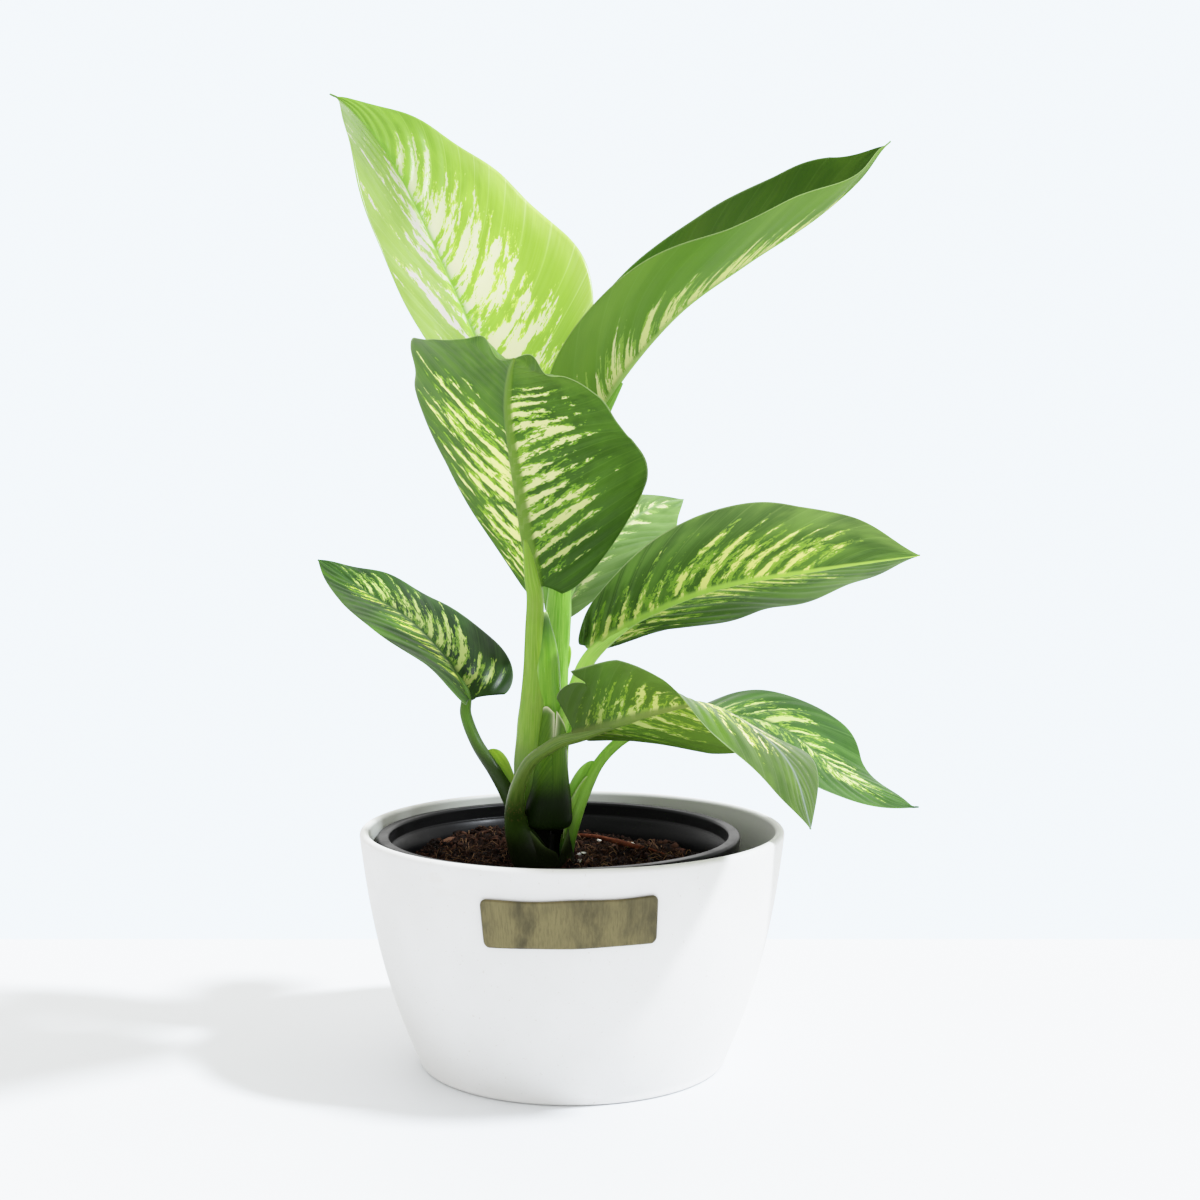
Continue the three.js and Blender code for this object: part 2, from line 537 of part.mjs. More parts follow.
function bladeSolid(leaf) {
  const curve = curveThrough(leaf.midrib);
  curve.arcLengthDivisions = midribSteps;
  const upper = [];
  const lower = [];
  for (let r = 0; r <= bladeRows; r += 1) {
    const even = r / bladeRows;
    const u = 0.5 * even + 0.25 * (1 - Math.cos(Math.PI * even));
    const points = bladeColumns.map((v) => bladePoint(leaf, curve, u, v));
    const next = Math.min(u + bladeLook, 1);
    const near = bladeColumns.map((v) => bladePoint(leaf, curve, next, v));
    const last = Math.max(u - bladeLook, 0);
    const before = bladeColumns.map((v) => bladePoint(leaf, curve, last, v));
    const normals = points.map((p, c) => {
      const a = points[Math.max(c - 1, 0)];
      const b = points[Math.min(c + 1, points.length - 1)];
      const across = b.clone().sub(a);
      const ahead = near[c].clone().sub(before[c]);
      return across.cross(ahead).normalize();
    });
    const ridge = ridgeHeight * (1 - u) ** 1.1;
    upper.push(points.map((p, c) => p.clone().addScaledVector(normals[c], bladeThickness / 2)));
    lower.push(points.map((p, c) => {
      const depth = bladeThickness / 2 + (bladeColumns[c] === 0 ? ridge : 0);
      return p.clone().addScaledVector(normals[c], -depth);
    }));
  }
  return solidFrom(slabGeometry(upper, lower));
}

// The petiole runs on under the blade's base, where it becomes the midrib.
function petiolePoints(leaf) {
  const curve = curveThrough(leaf.midrib);
  const under = (share, depth, radius) => {
    const tangent = curve.getTangentAt(share);
    const normal = curveThrough(leaf.face).getPoint(share).projectOnPlane(tangent).normalize();
    const p = curve.getPointAt(share).addScaledVector(normal, -depth);
    return [p.x, p.y, p.z, radius];
  };
  const top = leaf.petiole[leaf.petiole.length - 1][3];
  return [...leaf.petiole,
    under(underBase.share, underBase.depth * top, underBase.radius * top),
    under(underEnd.share, underEnd.depth, underEnd.radius)];
}

// ---------------------------------------------------------------- assembly
const plant = new THREE.Group();

function addNode(name, geometry, colour, roughness, metalness = 0) {
  const material = new THREE.MeshStandardMaterial({ color: colour, roughness, metalness });
  const mesh = new THREE.Mesh(geometry, material);
  mesh.name = name;
  plant.add(mesh);
}

addNode('planter', makePlanter(), 0xeeece8, 0.55);
addNode('label_plate', makePlate(), 0x8a8158, 0.4, 0.8);
addNode('nursery_pot', makeNurseryPot(), 0x161616, 0.35);

const cutClear = (body, rooms) => rooms.reduce((rest, room) => rest.subtract(room), body);

// Each leaf is cut clear of the stalks before it, and a clasp of all the stalks inside it.
const rooms = [];
const bodies = leaves.map((leaf) => {
  const points = petiolePoints(leaf);
  let body = bladeSolid(leaf).add(stalkSolid(points));
  if (leaf.wing) body = body.add(wingSolid(leaf));
  body = cutClear(body, rooms);
  let room = stalkSolid(points, gap);
  if (leaf.wing) room = room.add(wingSolid(leaf, gap));
  rooms.push(room);
  return body;
});
leaves.forEach((leaf, i) => {
  let body = bodies[i];
  if (leaf.clasp) {
    const others = rooms.filter((_, k) => k !== i);
    body = body.add(cutClear(stalkSolid(leaf.clasp), [...others, stalkSolid(cane, gap, caneRings)]));
  }
  addNode(leaf.name, geometryFrom(body), leaf.colour, 0.4);
});

addNode('cane', geometryFrom(cutClear(stalkSolid(cane, 0, caneRings), rooms)), 0x5d8a3c, 0.5);
addNode('surface_root', geometryFrom(stalkSolid(surfaceRoot, 0, rootRings)), 0x7a4a2c, 0.8);

const clasps = leaves.filter((leaf) => leaf.clasp).map((leaf) => stalkSolid(leaf.clasp, gap));
const holes = [...rooms, ...clasps, stalkSolid(cane, gap, caneRings),
  stalkSolid(surfaceRoot, gap, rootRings)];
addNode('potting_mix', geometryFrom(cutClear(makePottingMix(), holes)), 0x3a241a, 0.95);

export default plant;
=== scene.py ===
# A potted dieffenbachia: eight cream-streaked leaves on sheathed stalks, in a black nursery pot that
# stands in a white flared planter with a bare bronze plate. Tables are in millimetres, meshes in metres.
import math
import bpy
import numpy as np
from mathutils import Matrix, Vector


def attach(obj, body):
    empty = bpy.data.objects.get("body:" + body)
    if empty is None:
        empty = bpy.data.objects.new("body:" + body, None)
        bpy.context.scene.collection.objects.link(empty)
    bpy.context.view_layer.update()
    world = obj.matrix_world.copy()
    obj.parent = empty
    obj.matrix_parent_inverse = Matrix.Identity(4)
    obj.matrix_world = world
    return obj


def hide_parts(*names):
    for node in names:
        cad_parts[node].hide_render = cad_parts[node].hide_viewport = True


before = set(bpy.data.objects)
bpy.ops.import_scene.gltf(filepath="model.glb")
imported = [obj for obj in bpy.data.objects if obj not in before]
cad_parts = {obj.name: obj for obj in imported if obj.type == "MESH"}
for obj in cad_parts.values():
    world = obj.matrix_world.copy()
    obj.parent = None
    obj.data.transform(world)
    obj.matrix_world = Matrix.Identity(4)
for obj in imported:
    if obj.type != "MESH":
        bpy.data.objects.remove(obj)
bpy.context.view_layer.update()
mm = 0.001

# the photograph's view, worked out for a square picture
view = dict(at=(12, -800, 254), pitch=0.0668, lens=55.68, sensor=36)
cameraData = bpy.data.cameras.new("camera")
cameraData.lens = view["lens"]
cameraData.sensor_width = view["sensor"]
camera = bpy.data.objects.new("camera", cameraData)
camera.location = [c * mm for c in view["at"]]
camera.rotation_euler = (math.pi / 2 - view["pitch"], 0, 0)
bpy.context.scene.collection.objects.link(camera)
bpy.context.scene.camera = camera

# a soft shoulder keeps the bright floor and pot from burning out: shown = 1 - exp(-gain * light)
tone = dict(gain=2.5, stops=(0, 0.04, 0.1, 0.2, 0.32, 0.46, 0.62, 0.8, 1.0), top=1.5)
viewing = bpy.context.scene.view_settings
viewing.view_transform = "Standard"
viewing.use_curve_mapping = True
viewing.curve_mapping.white_level = (tone["top"],) * 3
curve = viewing.curve_mapping.curves[3]
while len(curve.points) < len(tone["stops"]):
    curve.points.new(0.5, 0.5)
for point, stop in zip(curve.points, tone["stops"]):
    point.location = (stop, 1 - math.exp(-tone["gain"] * stop * tone["top"]))
viewing.curve_mapping.update()


# curves
def unit(v):
    return v / np.maximum(np.linalg.norm(v, axis=-1, keepdims=True), 1e-12)


def circle(count):
    # angles evenly round one turn
    return np.linspace(0, 2 * np.pi, count, endpoint=False)


def squareTo(heading, way):
    # the part of a direction that is square to the heading
    return unit(way - (way * heading).sum(-1, keepdims=True) * heading)


def splineThrough(points, count=400):
    # uniform Catmull-Rom curve through the points, its end tangents mirrored
    p = np.asarray(points, float)
    p = np.vstack([2 * p[0] - p[1], p, 2 * p[-1] - p[-2]])
    spans = len(p) - 3
    t = np.linspace(0, spans, count)
    i = np.minimum(t.astype(int), spans - 1)
    f = (t - i)[:, None]
    a, b, c, d = p[i], p[i + 1], p[i + 2], p[i + 3]
    return 0.5 * (2 * b + (c - a) * f + (2 * a - 5 * b + 4 * c - d) * f**2
                  + (3 * b - a - 3 * c + d) * f**3)


def readAlong(values, share):
    # evenly spaced values, read at shares 0 to 1 on their smooth curve
    curve = splineThrough(np.asarray(values, float).reshape(-1, 1))[:, 0]
    return np.interp(share, np.linspace(0, 1, len(curve)), curve)


def readRows(rows, steps, share):
    # vectors that stand at the steps, read at the shares
    return np.stack([np.interp(share, steps, rows[:, k]) for k in range(3)], -1)


def tracePath(points):
    line = splineThrough([p[:3] for p in points], 800)
    run = np.concatenate([[0], np.cumsum(np.linalg.norm(np.diff(line, axis=0), axis=1))])
    return dict(line=line, heading=unit(np.gradient(line, axis=0)), share=run / run[-1], length=run[-1])


def pathAt(path, share):
    # place and heading at shares of the path's length
    return (readRows(path["line"], path["share"], share),
            unit(readRows(path["heading"], path["share"], share)))


def followStations(stations, share, *columns):
    # place, heading, full length and the stations' listed columns at shares of the length
    path = tracePath(stations)
    knots = np.interp(share, path["share"], np.linspace(0, 1, len(path["share"])))
    values = [readAlong([s[k] for s in stations], knots)[:, None] for k in columns]
    return (*pathAt(path, share), path["length"], *values)


def patchNoise(x, y, cell, seed):
    # smooth noise from -1 to 1: random heights on a square lattice, joined by eased steps
    size = 64
    table = np.random.default_rng(seed).uniform(-1, 1, (size, size))
    gx, gy = x / cell, y / cell
    ix, iy = np.floor(gx).astype(int), np.floor(gy).astype(int)
    fx, fy = gx - ix, gy - iy
    fx, fy = fx * fx * (3 - 2 * fx), fy * fy * (3 - 2 * fy)
    pick = lambda a, b: table[(ix + a) % size, (iy + b) % size]
    low = pick(0, 0) * (1 - fx) + pick(1, 0) * fx
    high = pick(0, 1) * (1 - fx) + pick(1, 1) * fx
    return low * (1 - fy) + high * fy


# meshes
def buildMesh(name, points, faces, uv=None, marks=None):
    # points in mm; faces are arrays of triangles or quads; uv and marks have one row per point
    points = np.asarray(points, float).reshape(-1, 3) * mm
    sizes = np.concatenate([np.full(len(f), f.shape[1]) for f in faces])
    corners = np.concatenate([f.ravel() for f in faces]).astype(np.int32)
    mesh = bpy.data.meshes.new(name)
    mesh.vertices.add(len(points))
    mesh.vertices.foreach_set("co", points.astype(np.float32).ravel())
    mesh.loops.add(len(corners))
    mesh.loops.foreach_set("vertex_index", corners)
    mesh.polygons.add(len(sizes))
    starts = np.concatenate([[0], np.cumsum(sizes)[:-1]]).astype(np.int32)
    mesh.polygons.foreach_set("loop_start", starts)
    mesh.polygons.foreach_set("use_smooth", np.ones(len(sizes), bool))
    if uv is not None:
        layer = mesh.uv_layers.new(name="UVMap")
        layer.data.foreach_set("uv", uv.reshape(-1, 2)[corners].astype(np.float32).ravel())
    for key, values in (marks or {}).items():
        attribute = mesh.attributes.new(key, "FLOAT", "POINT")
        attribute.data.foreach_set("value", np.asarray(values, np.float32).ravel())
    mesh.update(calc_edges=True)
    mesh.validate()
    piece = bpy.data.objects.new(name, mesh)
    bpy.context.scene.collection.objects.link(piece)
    return piece


def ringFaces(rows, columns, offset=0):
    # quads between rings, each closed round, and a strip of quads across the first and last ring
    r, c = np.meshgrid(np.arange(rows - 1), np.arange(columns), indexing="ij")
    a = (r * columns + c).ravel()
    b = (r * columns + (c + 1) % columns).ravel()
    sides = np.stack([a, b, b + columns, a + columns], 1)
    i = np.arange(columns // 2 - 1)
    j = columns - 1 - i
    first = np.stack([i, j, j - 1, i + 1], 1)
    last = np.stack([i, i + 1, j - 1, j], 1) + (rows - 1) * columns
    return np.concatenate([sides, first, last]) + offset


def ringMesh(name, rings, uv=None, marks=None):
    return buildMesh(name, rings, [ringFaces(*rings.shape[:2])], uv, marks)


def bothFaces(grid):
    # the values of a front face, then the same for its back, which runs the other way
    return np.concatenate([grid, grid[:, ::-1]], 1)


def latheMesh(name, profile, segments, centre=(0, 0), marks=None):
    # a profile of radius and height turned round the upright axis; it starts and ends on the axis
    profile = np.asarray(profile, float)
    body = profile[1:-1]
    turn = circle(segments)
    x = centre[0] + body[:, :1] * np.cos(turn)
    y = centre[1] + body[:, :1] * np.sin(turn)
    z = np.broadcast_to(body[:, 1:], x.shape)
    poles = [[*centre, profile[0, 1]], [*centre, profile[-1, 1]]]
    points = np.concatenate([np.stack([x, y, z], -1).reshape(-1, 3), poles])
    c = np.arange(segments)
    following = (c + 1) % segments
    rows = len(body)
    r = np.arange(rows - 1)[:, None] * segments
    quads = np.stack([(r + c), (r + following), (r + following + segments), (r + c + segments)], -1)
    end = (rows - 1) * segments
    low, high = np.full(segments, rows * segments), np.full(segments, rows * segments + 1)
    caps = np.concatenate([np.stack([low, following, c], 1),
                           np.stack([high, end + c, end + following], 1)])
    spread = {key: np.concatenate([np.repeat(row[1:-1], segments), row[[0, -1]]])
              for key, row in (marks or {}).items()}
    return buildMesh(name, points, [quads.reshape(-1, 4), caps], marks=spread)


def finishPiece(piece, material, slot, *nodes):
    piece.data.materials.append(material)
    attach(piece, "root")
    if nodes:
        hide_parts(*nodes)
    return piece


# material helpers
def colour(text):
    # a colour as the eye reads it, 0 to 255 in hexadecimal, turned into linear light
    values = [int(text[i:i + 2], 16) / 255 for i in (1, 3, 5)]
    return (*[v / 12.92 if v < 0.04045 else ((v + 0.055) / 1.055) ** 2.4 for v in values], 1.0)


def shown(text, light=0.9):
    # the paint that looks like this colour in the picture, under this much light and its soft shoulder
    most, brightest = 0.9, 0.97
    return (*[min(most, -math.log(1 - min(v, brightest)) / tone["gain"] / light)
              for v in colour(text)[:3]], 1.0)


def newMaterial(name):
    material = bpy.data.materials.new(name)
    material.use_nodes = True
    material.node_tree.nodes.clear()
    return material, material.node_tree


def put(tree, kind, inputs=None, **settings):
    # a shader node with its settings and inputs; a socket is linked, None leaves an input as it is
    node = tree.nodes.new("ShaderNode" + kind)
    for key, value in settings.items():
        setattr(node, key, value)
    for key, value in (inputs or {}).items():
        if isinstance(value, bpy.types.NodeSocket):
            tree.links.new(value, node.inputs[key])
        elif value is not None:
            node.inputs[key].default_value = value
    return node


def calc(tree, operation, *values):
    return put(tree, "Math", dict(enumerate(values)), operation=operation).outputs[0]


def times(tree, first, *others):
    for other in others:
        first = calc(tree, "MULTIPLY", first, other)
    return first


def ramp(tree, value, low, high, toLow=0.0, toHigh=1.0):
    inputs = {"Value": value, "From Min": low, "From Max": high, "To Min": toLow, "To Max": toHigh}
    return put(tree, "MapRange", inputs, interpolation_type="SMOOTHSTEP").outputs["Result"]


def blend(tree, factor, a, b, mode="MIX"):
    # for colours the mix node takes its factor at socket 0 and the two colours at 6 and 7
    return put(tree, "Mix", {0: factor, 6: a, 7: b}, data_type="RGBA", blend_type=mode,
               clamp_result=mode == "MULTIPLY").outputs[2]


def noise(tree, vector, scale=1, detail=2.0, rough=0.5, twist=0.0):
    inputs = {"Vector": vector, "Scale": scale, "Detail": detail, "Roughness": rough, "Distortion": twist}
    return put(tree, "TexNoise", inputs).outputs["Fac"]


def stretched(tree, vector, scale):
    return put(tree, "Mapping", {"Vector": vector, "Scale": scale}).outputs["Vector"]


def objectPlace(tree, scale=(1, 1, 1)):
    return stretched(tree, put(tree, "TexCoord").outputs["Object"], scale)


def ownMap(tree):
    return put(tree, "UVMap", uv_map="UVMap").outputs["UV"]


def mark(tree, name):
    return put(tree, "Attribute", attribute_name=name).outputs["Fac"]


def bump(tree, height, strength, distance, normal=None):
    inputs = {"Height": height, "Strength": strength, "Distance": distance, "Normal": normal}
    return put(tree, "Bump", inputs).outputs["Normal"]


def surface(tree, base, rough, normal=None, shine=0.5, metallic=0.0):
    inputs = {"Base Color": base, "Roughness": rough, "Normal": normal, "Specular IOR Level": shine,
              "Metallic": metallic}
    return put(tree, "BsdfPrincipled", inputs).outputs[0]


def thinSkin(tree, skin, paint, normal, amount):
    # a skin that lets some light through
    through = put(tree, "BsdfTranslucent", {"Color": paint, "Normal": normal}).outputs[0]
    return put(tree, "MixShader", {0: amount, 1: skin, 2: through}).outputs[0]


def layered(tree, base, *layers):
    # colours laid over a base, each by its amount
    for amount, paint in layers:
        base = blend(tree, amount, base, paint)
    return base


def close(material, shader):
    put(material.node_tree, "OutputMaterial", {"Surface": shader})
    return material


# planter: matt white, flared, with a rounded lip and foot
planter = dict(height=102, rim=92.2, flare=12, belly=14.3, bellyPower=2.5, wall=4, floor=4, foot=2.2,
               corner=4, segments=200)


def planterRadius(z):
    # even flare plus a belly that pulls in towards the base
    down = 1 - z / planter["height"]
    belly = planter["belly"] * np.maximum(down, 0)**planter["bellyPower"]
    return planter["rim"] - planter["flare"] * down - belly


def arc(start, end, count):
    # cosine and sine at even angles, the first left out
    a = np.linspace(start, end, count)[1:]
    return np.cos(a), np.sin(a)


def planterProfile():
    # foot arc, outer wall, half round lip, inner wall, inner corner arc
    foot, wall, top, floor, corner = [planter[k] for k in ("foot", "wall", "height", "floor", "corner")]
    a = np.linspace(-np.pi / 2, 0, 7)
    base = planterRadius(foot)
    outerFoot = np.stack([base - foot + foot * np.cos(a), foot + foot * np.sin(a)], 1)
    z = np.linspace(foot, top - wall / 2, 40)[1:]
    outer = np.stack([planterRadius(z), z], 1)
    across, up = arc(0, np.pi, 15)
    middle = planterRadius(top - wall / 2) - wall / 2
    lip = np.stack([middle + wall / 2 * across, top - wall / 2 + wall / 2 * up], 1)
    z = np.linspace(top - wall / 2, floor + corner, 30)[1:]
    inner = np.stack([planterRadius(z) - wall, z], 1)
    across, up = arc(0, np.pi / 2, 7)
    well = planterRadius(floor + corner) - wall - corner
    innerFoot = np.stack([well + corner * across, floor + corner - corner * up], 1)
    under = [[base * share, 0] for share in (0, 0.35, 0.7)]
    over = [[well * share, floor] for share in (0.7, 0.35, 0)]
    return np.concatenate([under, outerFoot, outer, lip, inner, innerFoot, over])


def glazeMaterial():
    # matt warm white, faintly clouded, with pin specks, a dry earthy smudge near the rim and
    # painted shade on the inside
    material, tree = newMaterial("planterGlaze")
    place = objectPlace(tree)
    cloud = noise(tree, place, 14, 4, 0.6)
    base = blend(tree, ramp(tree, cloud, 0.35, 0.65), (0.74, 0.73, 0.71, 1), (0.79, 0.78, 0.765, 1))
    specks = times(tree, ramp(tree, noise(tree, place, 900, 1, 0.4), 0.73, 0.76), 0.35)
    height = put(tree, "SeparateXYZ", {"Vector": place}).outputs["Z"]
    smears = ramp(tree, noise(tree, objectPlace(tree, (22, 22, 60)), 1.3, 5, 0.65), 0.56, 0.72)
    smudge = times(tree, ramp(tree, height, 0.075, 0.1), smears, 0.3)
    base = layered(tree, base, (specks, colour("#B9AEA0")), (smudge, colour("#CFC4B4")),
                   (mark(tree, "inside"), (0.36, 0.365, 0.33, 1)))
    fine = bump(tree, noise(tree, place, 420, 3, 0.6), 0.12, 0.0004)
    shape = bump(tree, noise(tree, place, 30, 2, 0.5), 0.1, 0.001, fine)
    return close(material, surface(tree, base, ramp(tree, cloud, 0.3, 0.7, 0.5, 0.6), shape))


# the painted shade inside begins past the lip's top and fades in over a few millimetres
profile = planterProfile()
pastLip = np.cumsum(np.diff(profile[:, 1], prepend=0) < 0) > 0
inside = pastLip * np.clip((planter["height"] + 0.6 - profile[:, 1]) / 2, 0, 1)
planterPiece = latheMesh("planterShell", profile, planter["segments"], marks={"inside": inside})
finishPiece(planterPiece, glazeMaterial(), "planter_glaze", "planter")
print("planter done")

# plate: thin bronze-coloured sheet on the planter's front, bare, with round corners
plate = dict(width=70, height=19.5, thickness=1.1, corner=2.5, z=80, tilt=1.5, gap=0.3, wave=0.22, dent=0.16,
             edge=0.5, edgeWide=0.9, rows=60, columns=150)


def plateRings():
    # Rows of constant height over the plate. Each ring runs across the front and back across the
    # rear, laid on the planter's wall; the front rolls off near the edge and has shallow dents.
    half = plate["height"] / 2
    even = lambda count: np.sin(np.linspace(-np.pi / 2, np.pi / 2, count))
    share, across = even(plate["rows"])[:, None], even(plate["columns"])[None, :]
    up = share * half
    past = np.maximum(0, np.abs(up) - (half - plate["corner"]))
    reach = plate["width"] / 2 - plate["corner"] + np.sqrt(np.maximum(plate["corner"]**2 - past**2, 0))
    x = reach * across
    up = up + plate["wave"] * share * np.sin(x * 0.19 + 1.1) * np.where(share > 0, 1, 0.5)
    near = np.minimum((1 - np.abs(across)) * reach, (1 - np.abs(share)) * half + 0 * across)
    roll = plate["edge"] * np.maximum(0, 1 - near / plate["edgeWide"])**2
    dents = plate["dent"] * (patchNoise(x + 90, up + 40, 9, 3) + 0.5 * patchNoise(x + 90, up + 40, 4, 4))
    tilt = math.radians(plate["tilt"])

    def lay(offset):
        z = plate["z"] + x * math.sin(tilt) + up * math.cos(tilt)
        radius = planterRadius(z) + offset
        angle = (x * math.cos(tilt) - up * math.sin(tilt)) / planterRadius(plate["z"])
        return np.stack([radius * np.sin(angle), -radius * np.cos(angle), z], -1)

    front = lay(plate["gap"] + plate["thickness"] - roll + dents * np.minimum(1, near / 3))
    back = lay(plate["gap"] + 0 * x)
    return np.concatenate([front, back[:, ::-1]], 1)


def bronzeMaterial():
    # brushed both ways and darkened by age in soft upright stains
    material, tree = newMaterial("plateBronze")
    place = objectPlace(tree)
    stain = noise(tree, objectPlace(tree, (70, 30, 30)), 1, 5, 0.65, 0.15)
    cloud = noise(tree, place, 60, 3, 0.6)
    upright = noise(tree, objectPlace(tree, (1400, 1400, 40)), 1, 3, 0.6)
    base = blend(tree, ramp(tree, stain, 0.38, 0.7), shown("#8E835A"), shown("#4E4830"))
    base = layered(tree, base, (ramp(tree, cloud, 0.45, 0.75), shown("#6E6646")),
                   (ramp(tree, upright, 0.4, 0.7, 0, 0.4), shown("#5A5236")))
    brushed = noise(tree, objectPlace(tree, (60, 60, 2600)), 1, 3, 0.6)
    normal = bump(tree, noise(tree, place, 260, 3, 0.5), 0.25, 0.0005, bump(tree, brushed, 0.2, 0.0002))
    return close(material, surface(tree, base, ramp(tree, stain, 0.3, 0.7, 0.3, 0.52), normal, metallic=0.75))


finishPiece(ringMesh("barePlate", plateRings()), bronzeMaterial(), "plate_bronze", "label_plate")
print("plate done")

# nursery pot: black plastic with a rolled rim, a step inside it and drain holes
nursery = dict(centre=(-6, 4.5), top=98.3, rim=79.5, rimWidth=5.5, skirt=9, base=55.5, floorZ=4.3, wall=1.6,
               step=6, stepWidth=0.5, stepZ=80, outerRound=1.5, innerRound=1.2, holes=5, holeRadius=5,
               holeCircle=0.6, holeSides=24, segments=180)


def nurseryRadius(z):
    inside = nursery["rim"] - nursery["rimWidth"] + nursery["wall"]
    share = (z - nursery["floorZ"]) / (nursery["top"] - nursery["floorZ"])
    return nursery["base"] + (inside - nursery["base"]) * share


def nurseryProfile():
    # base, wall, skirt under the rim, rounded flat rim, the step below it, and the inner wall
    top, rim, wall, base = [nursery[k] for k in ("top", "rim", "wall", "floorZ")]
    inner = rim - nursery["rimWidth"]
    low = top - nursery["skirt"]
    outside = [[nurseryRadius(h), h] for h in np.linspace(base + 0.6, low - 0.6, 14)]
    hem = [[nurseryRadius(low), low - 0.2], [nurseryRadius(low) + 0.4, low], [rim - 1.9, low],
           [rim - 1.3, low + 0.25], [rim - 1.15, low + 0.9]]
    a = np.linspace(0, np.pi / 2, 7)
    r, q = nursery["outerRound"], nursery["innerRound"]
    outerRound = np.stack([rim - 1.6 + r * np.cos(a), top - r + r * np.sin(a)], 1)
    innerRound = np.stack([inner + q - q * np.sin(a), top - q + q * np.cos(a)], 1)
    down = top - nursery["step"]
    ledge = [[inner - 0.1, down + 0.7], [inner - 0.2, down + 0.15], [inner - 0.5, down - 0.1],
             [inner - 1.0, down - 0.15], [inner - 1.2, down - 0.5]]
    inside = [[nurseryRadius(h) - wall - nursery["stepWidth"] * (h > nursery["stepZ"]) - 0.1, h]
              for h in np.linspace(down - 1.2, base + wall + 1, 14)]
    floor = base + wall
    last = nurseryRadius(floor) - wall
    return np.array([[0, base], [20, base], [44, base], [nursery["base"] - 0.8, base],
                     [nursery["base"] - 0.2, base + 0.2], *outside, *hem, *outerRound, *innerRound, *ledge,
                     *inside, [last - 1, floor + 0.1], [44, floor], [20, floor], [0, floor]])


def plasticMaterial():
    # satin black with moulding lines round it, dust and fine scuffs
    material, tree = newMaterial("blackPlastic")
    place = objectPlace(tree)
    scuff = noise(tree, objectPlace(tree, (30, 30, 140)), 1, 5, 0.7)
    dust = ramp(tree, noise(tree, place, 160, 5, 0.7), 0.6, 0.85)
    base = blend(tree, times(tree, dust, 0.35), (0.0015, 0.0015, 0.0016, 1), (0.03, 0.025, 0.02, 1))
    rings = noise(tree, objectPlace(tree, (3, 3, 900)), 1, 2, 0.5)
    normal = bump(tree, rings, 0.08, 0.0003, bump(tree, noise(tree, place, 300, 3, 0.6), 0.08, 0.0003))
    return close(material, surface(tree, base, ramp(tree, scuff, 0.35, 0.7, 0.3, 0.45), normal, 0.06))


def inPot(far, angle):
    # x and y this far from the nursery pot's middle, at an angle from its right
    return [middle + far * turn for middle, turn in zip(nursery["centre"], (np.cos(angle), np.sin(angle)))]


def drillHoles(piece):
    # the floor's drain holes, cut by one mesh of short drills
    count, sides = nursery["holes"], nursery["holeSides"]
    turn = circle(count)[:, None, None]
    a = circle(sides)[None, None, :]
    z = np.array([-8.0, 8.0])[None, :, None] + nursery["floorZ"]
    x, y = inPot(nursery["holeCircle"] * nursery["base"], turn)
    x, y = x + nursery["holeRadius"] * np.cos(a) + 0 * z, y + nursery["holeRadius"] * np.sin(a) + 0 * z
    faces = np.concatenate([ringFaces(2, sides, i * 2 * sides) for i in range(count)])
    drills = buildMesh("drills", np.stack([x, y, z + 0 * x], -1), [faces])
    cut = piece.modifiers.new("holes", "BOOLEAN")
    cut.object = drills
    cut.solver = "EXACT"
    evaluated = piece.evaluated_get(bpy.context.evaluated_depsgraph_get())
    mesh = bpy.data.meshes.new_from_object(evaluated)
    piece.modifiers.clear()
    piece.data = mesh
    bpy.data.objects.remove(drills)


nurseryPiece = latheMesh("nurseryShell", nurseryProfile(), nursery["segments"], nursery["centre"])
drillHoles(nurseryPiece)
finishPiece(nurseryPiece, plasticMaterial(), "black_plastic", "nursery_pot")
print("nursery pot done")

# potting mix: lumpy bed, with crumbs, lumps, bark chips, perlite and fibres strewn over it
soil = dict(top=84.3, mound=6.5, moundAt=(-38, 44), moundSpread=25, bottom=6.5, rows=110, columns=240,
            lumps=((9, 1.3), (4.2, 1.0), (1.9, 0.7)), gap=0.9, edgeDip=2.5, edgeFall=26, bare=4)


def soilHeight(x, y):
    # the solid's bed: mound, slow roll and crumbs, with finer lumps of patch noise on it
    away = ((x - soil["moundAt"][0])**2 + (y - soil["moundAt"][1])**2) / soil["moundSpread"]**2
    bed = soil["top"] + soil["mound"] * np.exp(-away) + 1.2 * np.sin(x * 0.13 + 1) * np.cos(y * 0.11)
    bed = bed + 0.9 * np.sin(x * 0.61 + y * 0.37) * np.sin(y * 0.53 - x * 0.29)
    for i, (cell, height) in enumerate(soil["lumps"]):
        bed = bed + height * patchNoise(x + 200, y + 200, cell, 20 + i)
    return bed


def soilRings():
    # rings up the pot's inside and then inwards over the bed to its middle
    turn = circle(soil["columns"])[None, :]
    wall = lambda z: nurseryRadius(z) - nursery["wall"] - soil["gap"]
    edge = wall(soil["top"])
    heights = np.array([soil["bottom"], 30, 60, soil["top"] - 4])[:, None]
    share = np.linspace(1, 0.006, soil["rows"])[:, None]**0.8
    radius = np.concatenate([wall(heights), edge * share])
    x, y = inPot(radius, turn)
    fromMiddle = np.hypot(x - nursery["centre"][0], y - nursery["centre"][1])
    z = soilHeight(x, y) - soil["edgeDip"] * np.exp(-(1 - fromMiddle / edge) * soil["edgeFall"])
    z[:4] = heights
    return np.stack([x, y, z], -1)


